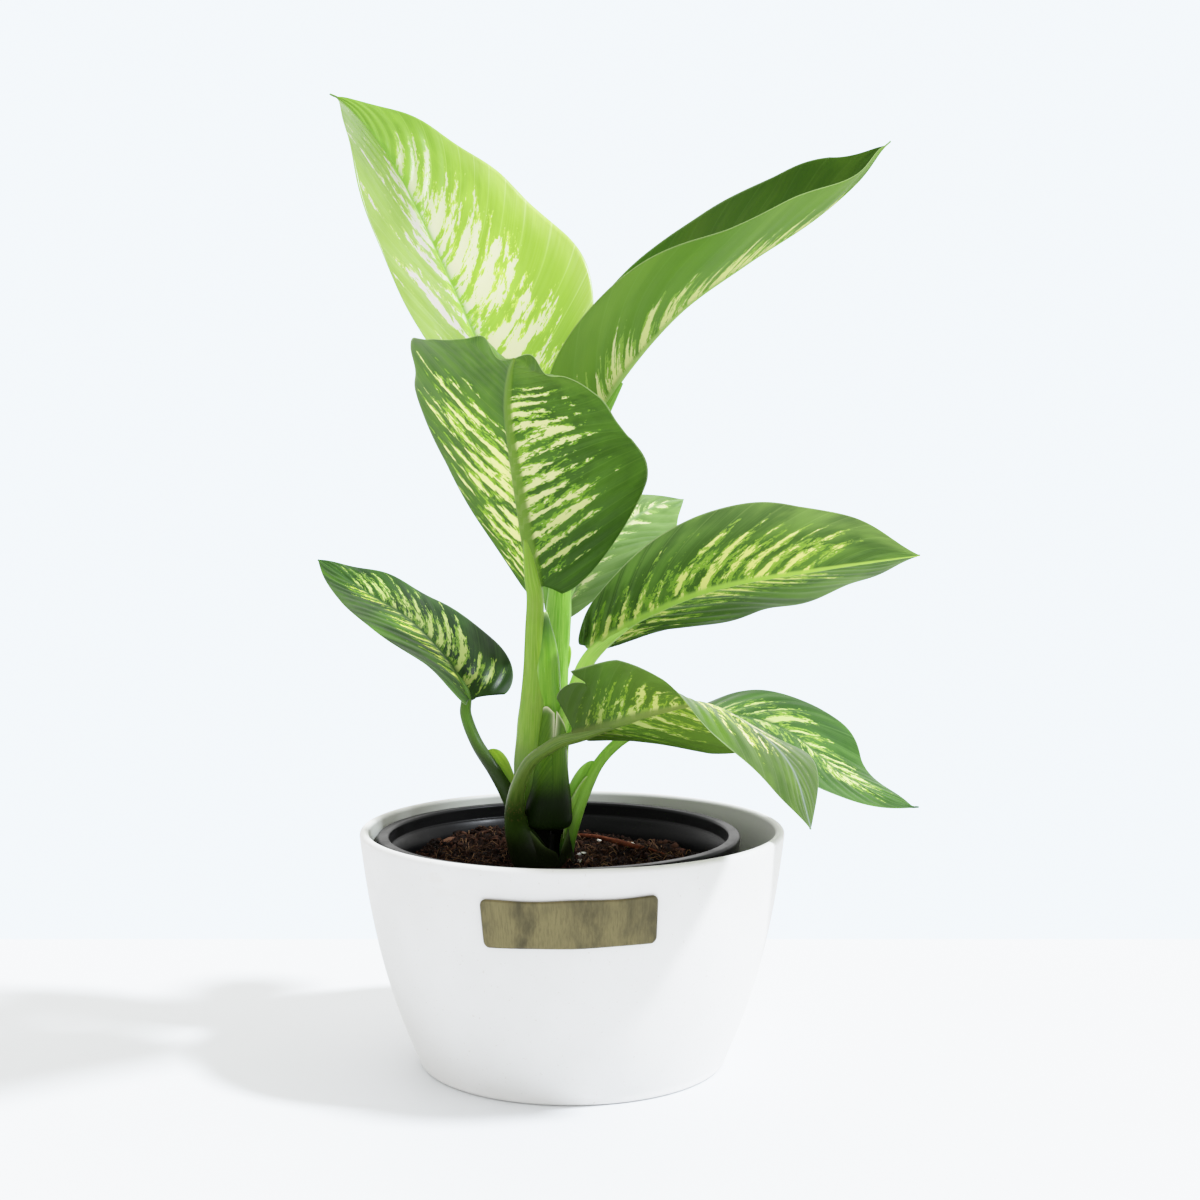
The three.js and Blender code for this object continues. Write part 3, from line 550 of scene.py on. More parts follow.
def strewn(bit):
    # one small shape, turned, stretched and laid on the bed again and again, as whole arrays
    count, shape, faces = bit["count"], *bit["shape"]
    rng = np.random.default_rng(bit["seed"])
    angle = rng.uniform(0, 2 * np.pi, count)
    far = (soilReach - bit["inset"]) * np.sqrt(rng.uniform(0.02, 1, count))
    x, y = inPot(far, angle)
    least, most = bit["sizes"]
    size = least + (most - least) * rng.uniform(0, 1, count)**2.2
    stretch = size[:, None, None] * rng.uniform(0.6, 1.25, (count, 1, 3))
    spin, lean = rng.uniform(0, 2 * np.pi, count), rng.normal(0, bit["tumble"][0], count)
    roll = rng.normal(0, bit["tumble"][1], count)
    one, nil = np.ones(count), np.zeros(count)
    turnZ = [np.cos(spin), -np.sin(spin), nil, np.sin(spin), np.cos(spin), nil, nil, nil, one]
    turnX = [one, nil, nil, nil, np.cos(lean), -np.sin(lean), nil, np.sin(lean), np.cos(lean)]
    turnY = [np.cos(roll), nil, np.sin(roll), nil, one, nil, -np.sin(roll), nil, np.cos(roll)]
    turnZ, turnX, turnY = [np.stack(turn, -1).reshape(-1, 3, 3) for turn in (turnZ, turnX, turnY)]
    lumps = shape[None] * rng.uniform(0.75, 1.25, (count, len(shape), 1)) * stretch
    points = lumps @ (turnZ @ turnX @ turnY).transpose(0, 2, 1)
    points += np.stack([x, y, soilHeight(x, y) - bit["sink"] * size], -1)[:, None]
    shifted = (faces[None] + np.arange(count)[:, None, None] * len(shape)).reshape(-1, faces.shape[1])
    tones = np.repeat(rng.uniform(0, 1, count), len(shape))
    return buildMesh(bit["name"], points, [shifted], marks={"tone": tones})


def crumbShape():
    # a rough ball of 12 corners
    g = (1 + 5**0.5) / 2
    corners = np.array([[-1, g, 0], [1, g, 0], [-1, -g, 0], [1, -g, 0], [0, -1, g], [0, 1, g], [0, -1, -g],
                        [0, 1, -g], [g, 0, -1], [g, 0, 1], [-g, 0, -1], [-g, 0, 1]]) / 1.9
    faces = np.array([[0, 11, 5], [0, 5, 1], [0, 1, 7], [0, 7, 10], [0, 10, 11], [1, 5, 9], [5, 11, 4],
                      [11, 10, 2], [10, 7, 6], [7, 1, 8], [3, 9, 4], [3, 4, 2], [3, 2, 6], [3, 6, 8],
                      [3, 8, 9], [4, 9, 5], [2, 4, 11], [6, 2, 10], [8, 6, 7], [9, 8, 1]])
    return corners, faces


def chipShape():
    # a sliver of bark: a flat six-cornered ring on two levels, its ends drawn out
    ring = np.array([[-2.6, 0], [-1.4, -0.7], [1.2, -0.8], [2.8, 0.1], [1.3, 0.8], [-1.2, 0.7]])
    low = np.column_stack([ring, np.full(6, -0.22)])
    high = np.column_stack([ring * 0.9, np.full(6, 0.22)])
    return np.concatenate([low, high]), ringFaces(2, 6)


def strandMesh(name, starts, headings, lengths, radius, seed, sides=4, steps=7):
    # thin bent strands: each wanders along its heading and lies on the bed
    rng = np.random.default_rng(seed)
    count = len(starts)
    t = np.linspace(0, 1, steps)[None, :]
    bend = rng.normal(0, 0.9, (count, 1)) * t + rng.normal(0, 0.5, (count, 1)) * np.sin(np.pi * t)
    x = starts[:, :1] + lengths[:, None] * t * np.cos(headings[:, None] + bend)
    y = starts[:, 1:] + lengths[:, None] * t * np.sin(headings[:, None] + bend)
    lift = rng.uniform(0.3, 2.2, (count, 1)) * np.sin(np.pi * t * rng.uniform(0.6, 1.4, (count, 1)))
    line = np.stack([x, y, soilHeight(x, y) + 0.3 + lift], -1)
    heading = unit(np.gradient(line, axis=1))
    side = unit(np.cross(heading, [0, 0, 1]))
    up = np.cross(side, heading)
    a = circle(sides)[:, None]
    r = radius[:, None, None, None] * (1 - 0.75 * t[:, :, None, None]**2)
    rings = line[:, :, None] + r * (np.cos(a) * side[:, :, None] + np.sin(a) * up[:, :, None])
    faces = np.concatenate([ringFaces(steps, sides, i * steps * sides) for i in range(count)])
    tones = np.repeat(rng.uniform(0, 1, count), steps * sides)
    return buildMesh(name, rings, [faces[:, ::-1]], marks={"tone": tones})


def mixMaterial(name, dark, light, dry, rough=0.9):
    # moist brown crumb: dark and lighter grain and darker patches in noise, drier scraps picked out by the
    # piece's own tone
    material, tree = newMaterial(name)
    place = objectPlace(tree)
    grain = noise(tree, place, 480, 5, 0.7)
    patch = noise(tree, place, 60, 3, 0.6)
    base = blend(tree, ramp(tree, grain, 0.35, 0.68), shown(dark), shown(light))
    base = layered(tree, base, (ramp(tree, patch, 0.4, 0.7, 0, 0.5), shown(dark)),
                   (ramp(tree, mark(tree, "tone"), 0.55, 1.0), shown(dry)))
    normal = bump(tree, noise(tree, place, 900, 4, 0.7), 0.6, 0.0006)
    return close(material, surface(tree, base, rough, normal, 0.04))


earth = mixMaterial("dampEarth", "#060302", "#24150D", "#3C2417")
bark = mixMaterial("barkScraps", "#1A0D08", "#4A2C1E", "#6E4A36", 0.85)
fibre = mixMaterial("dryFibre", "#1E1009", "#4E3020", "#8A6A4C", 0.8)
pearl = mixMaterial("perlite", "#CFC8BD", "#F2EFEA", "#FFFFFF", 0.8)

finishPiece(ringMesh("pottingMix", soilRings()), earth, "potting_mix", "potting_mix")
soilReach = nurseryRadius(soil["top"]) - nursery["wall"] - soil["bare"]
crumb = dict(shape=crumbShape(), material=earth, tumble=(1.5, 1.5))
for bit in (dict(crumb, name="soilCrumbs", count=8600, inset=0, sizes=(0.35, 1.25), sink=0.0, seed=11),
            dict(crumb, name="soilLumps", count=900, inset=1, sizes=(1.1, 3.0), sink=0.35, seed=18),
            dict(crumb, name="perliteGrains", count=9, inset=3, sizes=(1.0, 2.2), sink=-0.5, seed=12,
                 material=pearl),
            dict(name="barkChips", shape=chipShape(), material=bark, tumble=(0.5, 0.4), count=300, inset=3,
                 sizes=(0.8, 2.1), sink=-0.3, seed=13)):
    finishPiece(strewn(bit), bit["material"], "potting_mix")

fibres = dict(count=1500, inset=8, length=(2.5, 9), radius=(0.1, 0.26), rim=20, seed=14)
rng = np.random.default_rng(fibres["seed"])
angle = rng.uniform(0, 2 * np.pi, fibres["count"])
far = (soilReach - fibres["inset"]) * np.sqrt(rng.uniform(0, 1, fibres["count"]))
starts = np.stack(inPot(far, angle), 1)
lengths = rng.uniform(*fibres["length"], fibres["count"]) * np.where(far > soilReach - fibres["rim"], 0.5, 1)
headings = rng.uniform(0, 6.28, fibres["count"])
strands = strandMesh("soilFibres", starts, headings, lengths, rng.uniform(*fibres["radius"], fibres["count"]),
                     fibres["seed"] + 1)
finishPiece(strands, fibre, "potting_mix")
print("potting mix done")


# round stalks and open sheaths
facingViewer = (0, -1, 0)
stalk = dict(rows=90, columns=36, lumps=0.05)


def sectionFrame(heading, front):
    # the section's front and its right-hand side, both square to the heading
    ahead = squareTo(heading, np.asarray(front, float))
    return ahead, np.cross(heading, ahead)


def around(ahead, right, angle):
    # the direction at an angle from the section's front
    return np.cos(angle)[..., None] * ahead[:, None] + np.sin(angle)[..., None] * right[:, None]


def tubeRings(points, columns, lumps, seed):
    # circle of the listed radius carried along the path, with slight unevenness
    share = np.linspace(0, 1, stalk["rows"])
    centre, heading, length, radius = followStations(points, share, 3)
    a = circle(columns)[None, :]
    run = share[:, None] * length
    radius = radius * (1 + lumps * patchNoise(run + 50, 6 * np.cos(a) + 30, 9, seed))
    rings = centre[:, None] + radius[..., None] * around(*sectionFrame(heading, facingViewer), a)
    return rings, np.stack([run + 0 * a, np.abs(a - np.pi) / np.pi * 20 + 0 * run], -1)


def sheathRings(sheath, rows=70, columns=60):
    # Part of a tube, open between its two margins. Radius and margin angles are read along the
    # path, the inner face lies a wall's thickness inside, both meet in thin rounded rims, and the
    # top edge rises or falls by the listed millimetres.
    share = np.linspace(0, 1, rows)
    centre, heading, length, radius, first, last = followStations(sheath["stations"], share, 3, 4, 5)
    share = share[:, None]
    s = np.sin(np.linspace(-np.pi / 2, np.pi / 2, columns))[None, :] * 0.5 + 0.5
    angle = np.radians(first + (last - first) * s)
    free = np.abs(2 * s - 1)
    top = readAlong(sheath["top"], s) * share**4
    thin = np.minimum(1, 8 * (1 - free)) * np.minimum(1, 14 * (1 - share)) + 0 * s
    wall = sheath["wall"] * (0.3 + 0.7 * thin)
    out = around(*sectionFrame(heading, facingViewer), angle)
    shell = lambda r: centre[:, None] + r[..., None] * out + top[..., None] * heading[:, None]
    rings = np.concatenate([shell(radius + 0 * wall), shell(radius - wall)[:, ::-1]], 1)
    run = share * length + 0 * s
    uv = np.stack([bothFaces(run), bothFaces(radius * angle)], -1)
    opened = np.clip((share - sheath["rimFrom"]) / 0.2, 0, 1)
    rim = np.maximum(free**30 * opened, share**sheath["rimPower"] + 0 * s)
    return rings, uv, dict(rim=bothFaces(rim), inside=np.concatenate([0 * run, 0 * run + 1], 1))


def wingRings(points, wing, rows=60, columns=16):
    # A thin margin that stands out from a stalk. From one share of the path to another it reaches
    # out by half an ellipse, and its free edge curls sideways.
    s = np.linspace(0.001, 0.999, rows)
    share = wing["start"] + (wing["end"] - wing["start"]) * s
    centre, heading, length, radius = followStations(points, share, 3)
    out, side = sectionFrame(heading, wing["way"])
    reach = (wing["height"] * np.sqrt(1 - (2 * s**wing["late"] - 1)**2))[:, None]
    t = np.sin(np.linspace(0, np.pi / 2, columns))[None, :]
    away = wing["root"] * radius + reach * t
    curl = wing["curl"] * reach * t**2 + wing["frill"] * t**3 * np.sin(9 * s)[:, None]
    half = 0.5 * wing["thickness"] * (1 - 0.6 * t**3) + 0 * s[:, None]
    middle = centre[:, None] + away[..., None] * out[:, None]
    front, back = [middle + (curl + h)[..., None] * side[:, None] for h in (half, -half)]
    run = (share * length)[:, None] + 0 * t
    uv = np.stack([bothFaces(run), bothFaces(away)], -1)
    return np.concatenate([back, front[:, ::-1]], 1), uv, dict(rim=bothFaces(t**14 + 0 * run))


plainSkin = dict(fleckFrom=0.72, fleck="#D9E8A8", insideShadeAmount=0.6, rim="#DCE9B4", rimAmount=0.8, gloss=0.28,
                 shine=0.16, through=0.2)


def stalkMaterial(name, **own):
    # fresh green with fine pale streaks along it and a pale free rim, with painted shade at the listed
    # depths, mostly towards the soil, and painted shade inside a sheath; the depths and the scar are
    # heights above the floor, and a mesh without the marks for rim and inside has neither
    look = {**plainSkin, **own}
    material, tree = newMaterial(name)
    uv = ownMap(tree)
    along = lambda x, y, detail, rough: noise(tree, stretched(tree, uv, (x, y, 1)), 1, detail, rough)
    streak = along(0.05, 1.0, 4, 0.65)
    fleck = along(0.22, 2.4, 2, 0.5)
    patch = along(0.05, 0.12, 2, 0.5)
    height = put(tree, "SeparateXYZ", {"Vector": objectPlace(tree)}).outputs["Z"]
    base = blend(tree, ramp(tree, streak, 0.35, 0.65), shown(look["green"]), shown(look["pale"]))
    layers = [(ramp(tree, patch, 0.45, 0.7, 0, 0.5), look["tint"]),
              (ramp(tree, fleck, look["fleckFrom"], look["fleckFrom"] + 0.03, 0, 0.4), look["fleck"])]
    # painted shade: each depth darkens the skin from one height to another, and the inside mark paints shade
    # on a sheath's inner face
    layers += [(ramp(tree, height, start * mm, end * mm), paint) for start, end, paint in look["depth"]]
    insideShade = look.get("insideShade", look["tint"])
    layers += [(times(tree, mark(tree, "inside"), look["insideShadeAmount"]), insideShade),
               (times(tree, mark(tree, "rim"), look["rimAmount"]), look["rim"])]
    if "scar" in look:
        below, above = [ramp(tree, height, (look["scar"] + far) * mm, look["scar"] * mm) for far in (-7, 7)]
        flaw = ramp(tree, along(0.5, 0.8, 3, 0.7), 0.56, 0.62)
        layers.append((times(tree, below, above, flaw, 0.45), "#A8875C"))
    base = layered(tree, base, *[(amount, shown(paint)) for amount, paint in layers])
    normal = bump(tree, streak, 0.25, 0.0006)
    rough = ramp(tree, patch, 0.3, 0.7, look["gloss"], look["gloss"] + 0.14)
    skin = surface(tree, base, rough, normal, look["shine"])
    return close(material, thinSkin(tree, skin, base, normal, look["through"]))


def makeStalk(name, points, material, node, seed=1):
    rings = tubeRings(points, stalk["columns"], stalk["lumps"], seed)
    finishPiece(ringMesh(name, *rings), material, "stalk", node)


# leaf blades
blade = dict(thickness=0.55, sweep=0.12, lobeFade=0.09, rows=170, half=46, spacing=1.6, crowd=0.75,
             least=0.45, sway=0.35, groove=0.5, overlap=0.2)
untorn = dict(at=-9, depth=0, before=1, past=1, back=0, fade=1)
plainLeaf = dict(slot="leaf", widest=0.4, base=0.3, lobe=6, thread=0, ripple=0.8, ripples=3, leftArch=0.1,
                 rightArch=0.1, leftShare=[1, 1], rightShare=[1, 1], leftWave=[0, 0], rightWave=[0, 0],
                 tear=untorn, lean=0.12, relief=0.35, baseRelief=0, ribWide=2.3, ribHigh=2.2)
plainPattern = dict(wide=4.5, long=17, wideGain=5.5, fine=1.7, fineLong=5, fineGain=3.4, comb=0.4, core=0.8,
                    limeBand=0.15, foot=0.02, leftFiner=1.3)
plainLook = dict(light=0.9, veinPale=0.25, belowAmount=0.35, glow="#FFFFC8", gloss=0.34, shine=0.14,
                 through=0.35, paintedLightAndShade=())


def outlineShare(u, leaf):
    # quick rise from the base to the widest place, long fall to the tip
    left = np.clip(1 - u / leaf["widest"], 0, 1)
    rise = leaf["base"] + (1 - leaf["base"]) * (1 - left**2.3)**0.6
    past = np.clip((u - leaf["widest"]) / (1 - leaf["widest"]), 0, 1)
    return np.where(u < leaf["widest"], rise, (1 - past**1.75)**1.2)


def midribFrame(leaf, share):
    # place, heading and the normal of the blade's plane at shares of the midrib
    point, heading = pathAt(leaf["path"], share)
    face = splineThrough(leaf["face"])
    return point, heading, squareTo(heading, readRows(face, np.linspace(0, 1, len(face)), share))


def bladeSheet(leaf, u, v):
    # From the midrib's point u an arc runs out to v = -1 on the left and 1 on the right. Its chord
    # is lifted out of the blade's plane, its foot sweeps on towards the tip as the side veins do,
    # its base lobes hang back, and the edge waves. A tear cuts in from the right margin: the arcs
    # before it end lower, and the ends of those past it are drawn back and lie over them.
    length, tear = leaf["path"]["length"], leaf["tear"]
    share = np.minimum(1, u * length / (length - leaf["thread"]))
    right, out = v >= 0, np.abs(v)
    pick = lambda key: np.where(right, readAlong(leaf["right" + key], u), readAlong(leaf["left" + key], u))
    width = np.maximum(blade["least"], leaf["half"] * outlineShare(share, leaf) * pick("Share"))
    past = u - tear["at"]
    notch = np.where(past < 0, np.exp(np.minimum(past, 0) / tear["before"]),
                     np.exp(-(past / tear["past"])**2))
    width = width * (1 - right * tear["depth"] * notch * out**4)
    arch = np.radians(np.where(right, leaf["rightArch"], leaf["leftArch"]))
    start = np.radians(pick("Lift")) - arch / 2
    across = (np.sin(start + arch * out) - np.sin(start)) / arch * width
    rise = -(np.cos(start + arch * out) - np.cos(start)) / arch * width
    foot = np.minimum(1, u + blade["sweep"] * np.sin(np.pi * u)**0.8 * out**1.3)
    over = (right * tear["back"] * (past > 0) * (1 - notch) * np.exp(-np.maximum(past, 0) / tear["fade"])
            * out**7)
    lobe = leaf["lobe"] * np.exp(-u / blade["lobeFade"]) * out**1.5 + over
    ripple = leaf["ripple"] * np.sin(2 * np.pi * leaf["ripples"] * u + np.where(right, 2, 0))
    wave = (pick("Wave") + ripple * np.sqrt(np.sin(np.pi * u))) * out**2.2
    point, heading, normal = midribFrame(leaf, foot)
    side = np.cross(heading, normal)
    sheet = (point - lobe[..., None] * heading + (np.sign(v) * across)[..., None] * side
             + (rise + wave + blade["overlap"] * over)[..., None] * normal)
    return sheet, width


def veinField(leaf, u, v):
    # 0 on a side vein, 1 midway between two; a vein leans on towards the tip, and the veins stand
    # unevenly and differ on the two halves
    start = u - leaf["lean"] * np.abs(v)**1.15
    shift = 0.22 * np.sin(7.3 * start + leaf["seed"]) + 0.16 * np.sin(17 * start + 2 * leaf["seed"])
    turns = leaf["veins"] * start + shift + np.where(v >= 0, 0.43, 0)
    return np.abs(np.sin(np.pi * turns)), turns


def spreadField(leaf, u, v):
    # how readily the cream shows: most by the midrib, none past its reach, at the tip or the base
    pattern, right = leaf["pattern"], v >= 0
    reach, most, fall = [np.where(right, *pair) for pair in zip(pattern["right"], pattern["left"])]
    spread = most - 1.5 * (np.abs(v) / reach)**fall
    leftTip, rightTip = np.broadcast_to(pattern["tip"], 2)
    start = u - leaf["lean"] * np.abs(v)
    spread = spread - 2.2 * np.clip((start - np.where(right, rightTip, leftTip)) / 0.16, 0, 2)**1.5
    return spread - 1.6 * np.exp(-u / pattern["foot"])


def bladeRings(leaf):
    # two sheets a leaf's thickness apart, the lower one with the raised midrib, joined at the edge
    fade = lambda value: np.clip(value, 0, 1)
    r = np.linspace(0, 1, blade["rows"])
    rowShare = r - blade["crowd"] * np.sin(2 * np.pi * r) / (2 * np.pi)
    s = np.linspace(-1, 1, 2 * blade["half"] + 1)
    u, v = np.meshgrid(rowShare, np.sign(s) * np.abs(s)**blade["spacing"], indexing="ij")
    sheet, width = bladeSheet(leaf, fade(u), v)
    normal = unit(np.cross(np.gradient(sheet, axis=1), np.gradient(sheet, axis=0)))
    out = np.abs(v)
    away = out * width
    vein, turns = veinField(leaf, u, v)
    ribWide = leaf["ribWide"] * (1 - fade(u))**0.9 + 0.35
    calm = (fade(out / 0.12) * fade((1 - out) / 0.25) * fade((1 - u) / 0.15) * fade(u / 0.03)
            * fade(away / ribWide / 1.6))
    depth = leaf["relief"] * (1 + leaf["baseRelief"] * np.exp(-(u / 0.16)**2))
    sway = patchNoise(u * leaf["path"]["length"] + 90, v * width + 80, 17, leaf["seed"])
    relief = depth * calm * (vein**1.5 - 0.5) + blade["sway"] * calm * sway
    half = blade["thickness"] / 2 * (1 - 0.7 * out**8)
    ribHigh = leaf["ribHigh"] * (1 - fade(u))**1.1
    ribShape = np.sqrt(fade(1 - (away / ribWide)**2)) * 0.8 + 0.2 * np.exp(-(away / ribWide / 1.3)**2)
    groove = blade["groove"] * (1 - u) * np.exp(-(away / 1.3)**2)
    upper = sheet + (half + relief - groove)[..., None] * normal
    lower = sheet + (-half + relief - ribHigh * ribShape)[..., None] * normal
    ribAbove, ribBelow = np.exp(-(away / (0.5 * ribWide + 0.3))**2), np.exp(-(away / ribWide / 0.92)**8)
    marks = dict(upper=np.concatenate([0 * u + 1, 0 * u], 1), turns=bothFaces(turns),
                 rib=np.concatenate([ribAbove, ribBelow[:, ::-1]], 1),
                 spread=bothFaces(spreadField(leaf, u, v)))
    uv = np.stack([bothFaces(u), bothFaces(v * 0.5 + 0.5)], -1)
    return np.concatenate([upper, lower[:, ::-1]], 1), uv, marks


def bladeMaterial(leaf):
    # Green that is deeper above than below. Cream streaks with ragged lime edges run along the side
    # veins; their noise is stretched that way, and one threshold gives the lime, a higher one the cream.
    look, pattern = leaf["look"], leaf["pattern"]
    material, tree = newMaterial(leaf["name"])
    tint = lambda text: shown(text, look["light"])
    add = lambda value, factor, more: calc(tree, "MULTIPLY_ADD", value, factor, more)
    parts = put(tree, "SeparateXYZ", {"Vector": ownMap(tree)}).outputs
    along, side = parts["X"], add(parts["Y"], 2.0, -1.0)
    out = calc(tree, "ABSOLUTE", side)
    away = times(tree, out, leaf["half"])
    layer = add(calc(tree, "SIGN", side), 5.3, leaf["seed"] * 3.1)
    turns = mark(tree, "turns")
    vein = calc(tree, "ABSOLUTE", calc(tree, "SINE", times(tree, turns, math.pi)))
    crowd = add(calc(tree, "LESS_THAN", side, 0.0), pattern["leftFiner"] - 1, 1.0)
    crossing = times(tree, turns, leaf["path"]["length"] / leaf["veins"], crowd)

    def field(fine, long, detail, rough, twist, shift):
        # noise that follows the side veins, its cells this many mm across them and along them
        place = {"X": calc(tree, "DIVIDE", crossing, fine), "Y": calc(tree, "DIVIDE", away, long),
                 "Z": calc(tree, "ADD", layer, shift)}
        return noise(tree, put(tree, "CombineXYZ", place).outputs[0], 1, detail, rough, twist)

    wide = field(pattern["wide"], pattern["long"], 2, 0.5, 0.3, 0.0)
    ragged = field(pattern["fine"], pattern["fineLong"], 3, 0.6, 0.5, 9.0)
    specks = field(0.6, 1.7, 2, 0.6, 0.3, 17.0)
    total = mark(tree, "spread")
    for cells, gain in ((wide, pattern["wideGain"]), (ragged, pattern["fineGain"]), (specks, 1.8)):
        total = add(calc(tree, "SUBTRACT", cells, 0.5), gain, total)
    tipSide = calc(tree, "COSINE", add(turns, 2 * math.pi, -0.7))
    total = add(tipSide, pattern["comb"], total)
    limeHere = ramp(tree, total, -0.06, 0.06)
    creamFrom = pattern["limeBand"]
    creamHere = ramp(tree, add(vein, -pattern["core"], total), creamFrom - 0.08, creamFrom + 0.08)

    cloud = field(16, 22, 3, 0.55, 0.4, 31.0)
    lines = field(0.55, 30, 2, 0.5, 0.0, 43.0)
    green = blend(tree, ramp(tree, cloud, 0.35, 0.68), tint(look["dark"]), tint(look["green"]))
    green = blend(tree, ramp(tree, lines, 0.35, 0.7, 0, 0.12), green, tint(look["pale"]))
    # painted shade: darker green in the grooves along the side veins near the base
    if "paintedFoldShade" in look:  # deeper green in the folds near the base
        amount, end = look["paintedFoldShade"]
        foldShade = times(tree, ramp(tree, vein, 0.7, 0.1, 0, amount), ramp(tree, along, end, 0.08))
        green = blend(tree, foldShade, green, tint("#234A10"))
    green = blend(tree, ramp(tree, vein, 0.16, 0.03, 0, look["veinPale"]), green, tint(look["pale"]))
    otherLime = tint(look.get("lime2", look["lime"]))
    lime = blend(tree, ramp(tree, ragged, 0.4, 0.65), tint(look["lime"]), otherLime)
    upper = blend(tree, limeHere, green, lime)
    upper = blend(tree, creamHere, upper, tint(look["cream"]))
    onTop = mark(tree, "upper")
    base = blend(tree, onTop, blend(tree, look["belowAmount"], upper, tint(look["below"])), upper)
    ribTone = blend(tree, onTop, tint(look["rib"]), tint(look.get("ribTop", look["rib"])))
    base = blend(tree, times(tree, mark(tree, "rib"), 0.95), base, ribTone)
    # painted sheen and painted shade: each entry multiplies a stretch of the blade, lighter where the factor
    # is above 1, darker below 1
    for start, end, half, factor, *edge in look["paintedLightAndShade"]:  # half: 1 right, -1 left, 0 both
        amount = ramp(tree, along, start, end)
        if half:
            reach = (*edge, 1.0) if edge else (0.0, 0.2)
            amount = times(tree, amount, ramp(tree, times(tree, side, half), *reach))
        base = blend(tree, amount, base, (*factor, 1.0), "MULTIPLY")
    base = blend(tree, ramp(tree, out, 0.984, 0.998, 0, 0.4), base, tint("#DCE8B8"))

    normal = bump(tree, cloud, 0.1, 0.001, bump(tree, lines, 0.1, 0.0004))
    roughBelow = 0.48
    skin = surface(tree, base, add(onTop, look["gloss"] - roughBelow, roughBelow), normal, look["shine"])
    glow = blend(tree, 1.0, base, tint(look["glow"]), "MULTIPLY")
    return close(material, thinSkin(tree, skin, glow, normal, look["through"]))


def underBlade(leaf):
    # the petiole's last two stations, below the blade's base, where it becomes the midrib
    place, heading, normal = midribFrame(leaf, np.array([0.03, 0.14]))
    top = leaf["petiole"][-1][3]
    return [[*(place[0] - 0.5 * top * normal[0]), 0.85 * top], [*(place[1] - 1.3 * normal[1]), 1.1]]


def makeLeaf(leaf):
    # one blade and its stalk; what the leaf's table leaves out is read from the plain tables
    leaf = {**plainLeaf, **leaf, "path": tracePath(leaf["midrib"])}
    leaf["pattern"] = {**plainPattern, **leaf["pattern"]}
    leaf["look"] = {**plainLook, **leaf["look"]}
    name, node = leaf["name"], leaf["node"]
    finishPiece(ringMesh(name + "Blade", *bladeRings(leaf)), bladeMaterial(leaf), leaf["slot"], node)
    skin = stalkMaterial(name + "Skin", **leaf["skin"])
    makeStalk(name + "Stalk", [*leaf["petiole"], *underBlade(leaf)], skin, node, leaf["seed"])
    print(name, "done")


# leaves: the midrib's x, y, z, the petiole's x, y, z, radius, and the way the face looks along the
# midrib; half is the greatest half width, the left and right tables are read from base to tip, with
# lifts and arches in degrees. pattern: reach, amount and fall of the cream on each half, and where
# it ends; cell sizes are in millimetres. The look's list of painted sheen and painted shade gives
# start and end along the blade, half, factor and where on that half it begins.
darkLook = dict(dark="#23481A", green="#3F6F2A", pale="#6C9A4E", lime="#8DBB3C", lime2="#A9CC55",
                cream="#DDE7A6", below="#7C9C6C", rib="#7E9F5A", ribTop="#5D8A42")
# skins: each depth is painted shade, darker from one height in mm to another, in its colour
freshSkin = dict(green="#80B53C", pale="#A0CC60", tint="#94B058", depth=[(112, 90, "#4C7C2C")])

upperLeft = dict(
    name="upperLeft", node="leaf_upper_left", slot="leaf_young", seed=3,
    midrib=[(-26, 0, 278), (-39, 6, 307), (-53, 14, 338), (-69, 22, 372), (-85, 34, 400), (-103, 48, 421),
            (-110, 52, 426)],
    face=[(0.45, -0.85, 0.25), (0.45, -0.85, 0.25), (0.3, -0.85, 0.35)],
    half=49, ripple=1.1, ripples=4, widest=0.34, thread=8,
    leftLift=[36, 34, 36, 42, 48, 50], rightLift=[40, 28, 18, 8, 4, 20],
    rightShare=[1.3, 1.22, 0.96, 0.9, 0.92, 1],
    petiole=[(-9, 8, 196, 3), (-11, 7, 214, 3.2), (-15, 5, 232, 3.2), (-20, 3, 252, 3.1), (-24, 1, 269, 3)],
    veins=17, lean=0.16, relief=0.45, ribWide=2.0, ribHigh=1.8,
    pattern=dict(left=(0.95, 0.1, 1.6), right=(0.72, 0.5, 2.2), tip=0.62, long=18, fineLong=3.5,
                 leftFiner=0.45, limeBand=0.1, core=0.3, comb=0.3, wideGain=6),
    look=dict(dark="#ACD24C", green="#BCDE64", pale="#D0EA98", lime="#D2EC85", cream="#FFFFDC",
              below="#A8CF6A", rib="#A8D25A", ribTop="#B4D860", through=0.36, glow="#FFFFB0", gloss=0.3,
              veinPale=0.35, shine=0.4, light=0.72,
              paintedLightAndShade=[(-0.2, -0.1, 1, (1.2, 1.1, 1.05)), (-0.2, -0.1, -1, (0.8, 0.7, 0.95)),
                      (0.3, 0.8, 0, (0.5, 0.6, 0.36)), (0.75, 0.5, 1, (1.35, 1.15, 2.4), 0.75)]),
    skin=freshSkin)
makeLeaf(upperLeft)

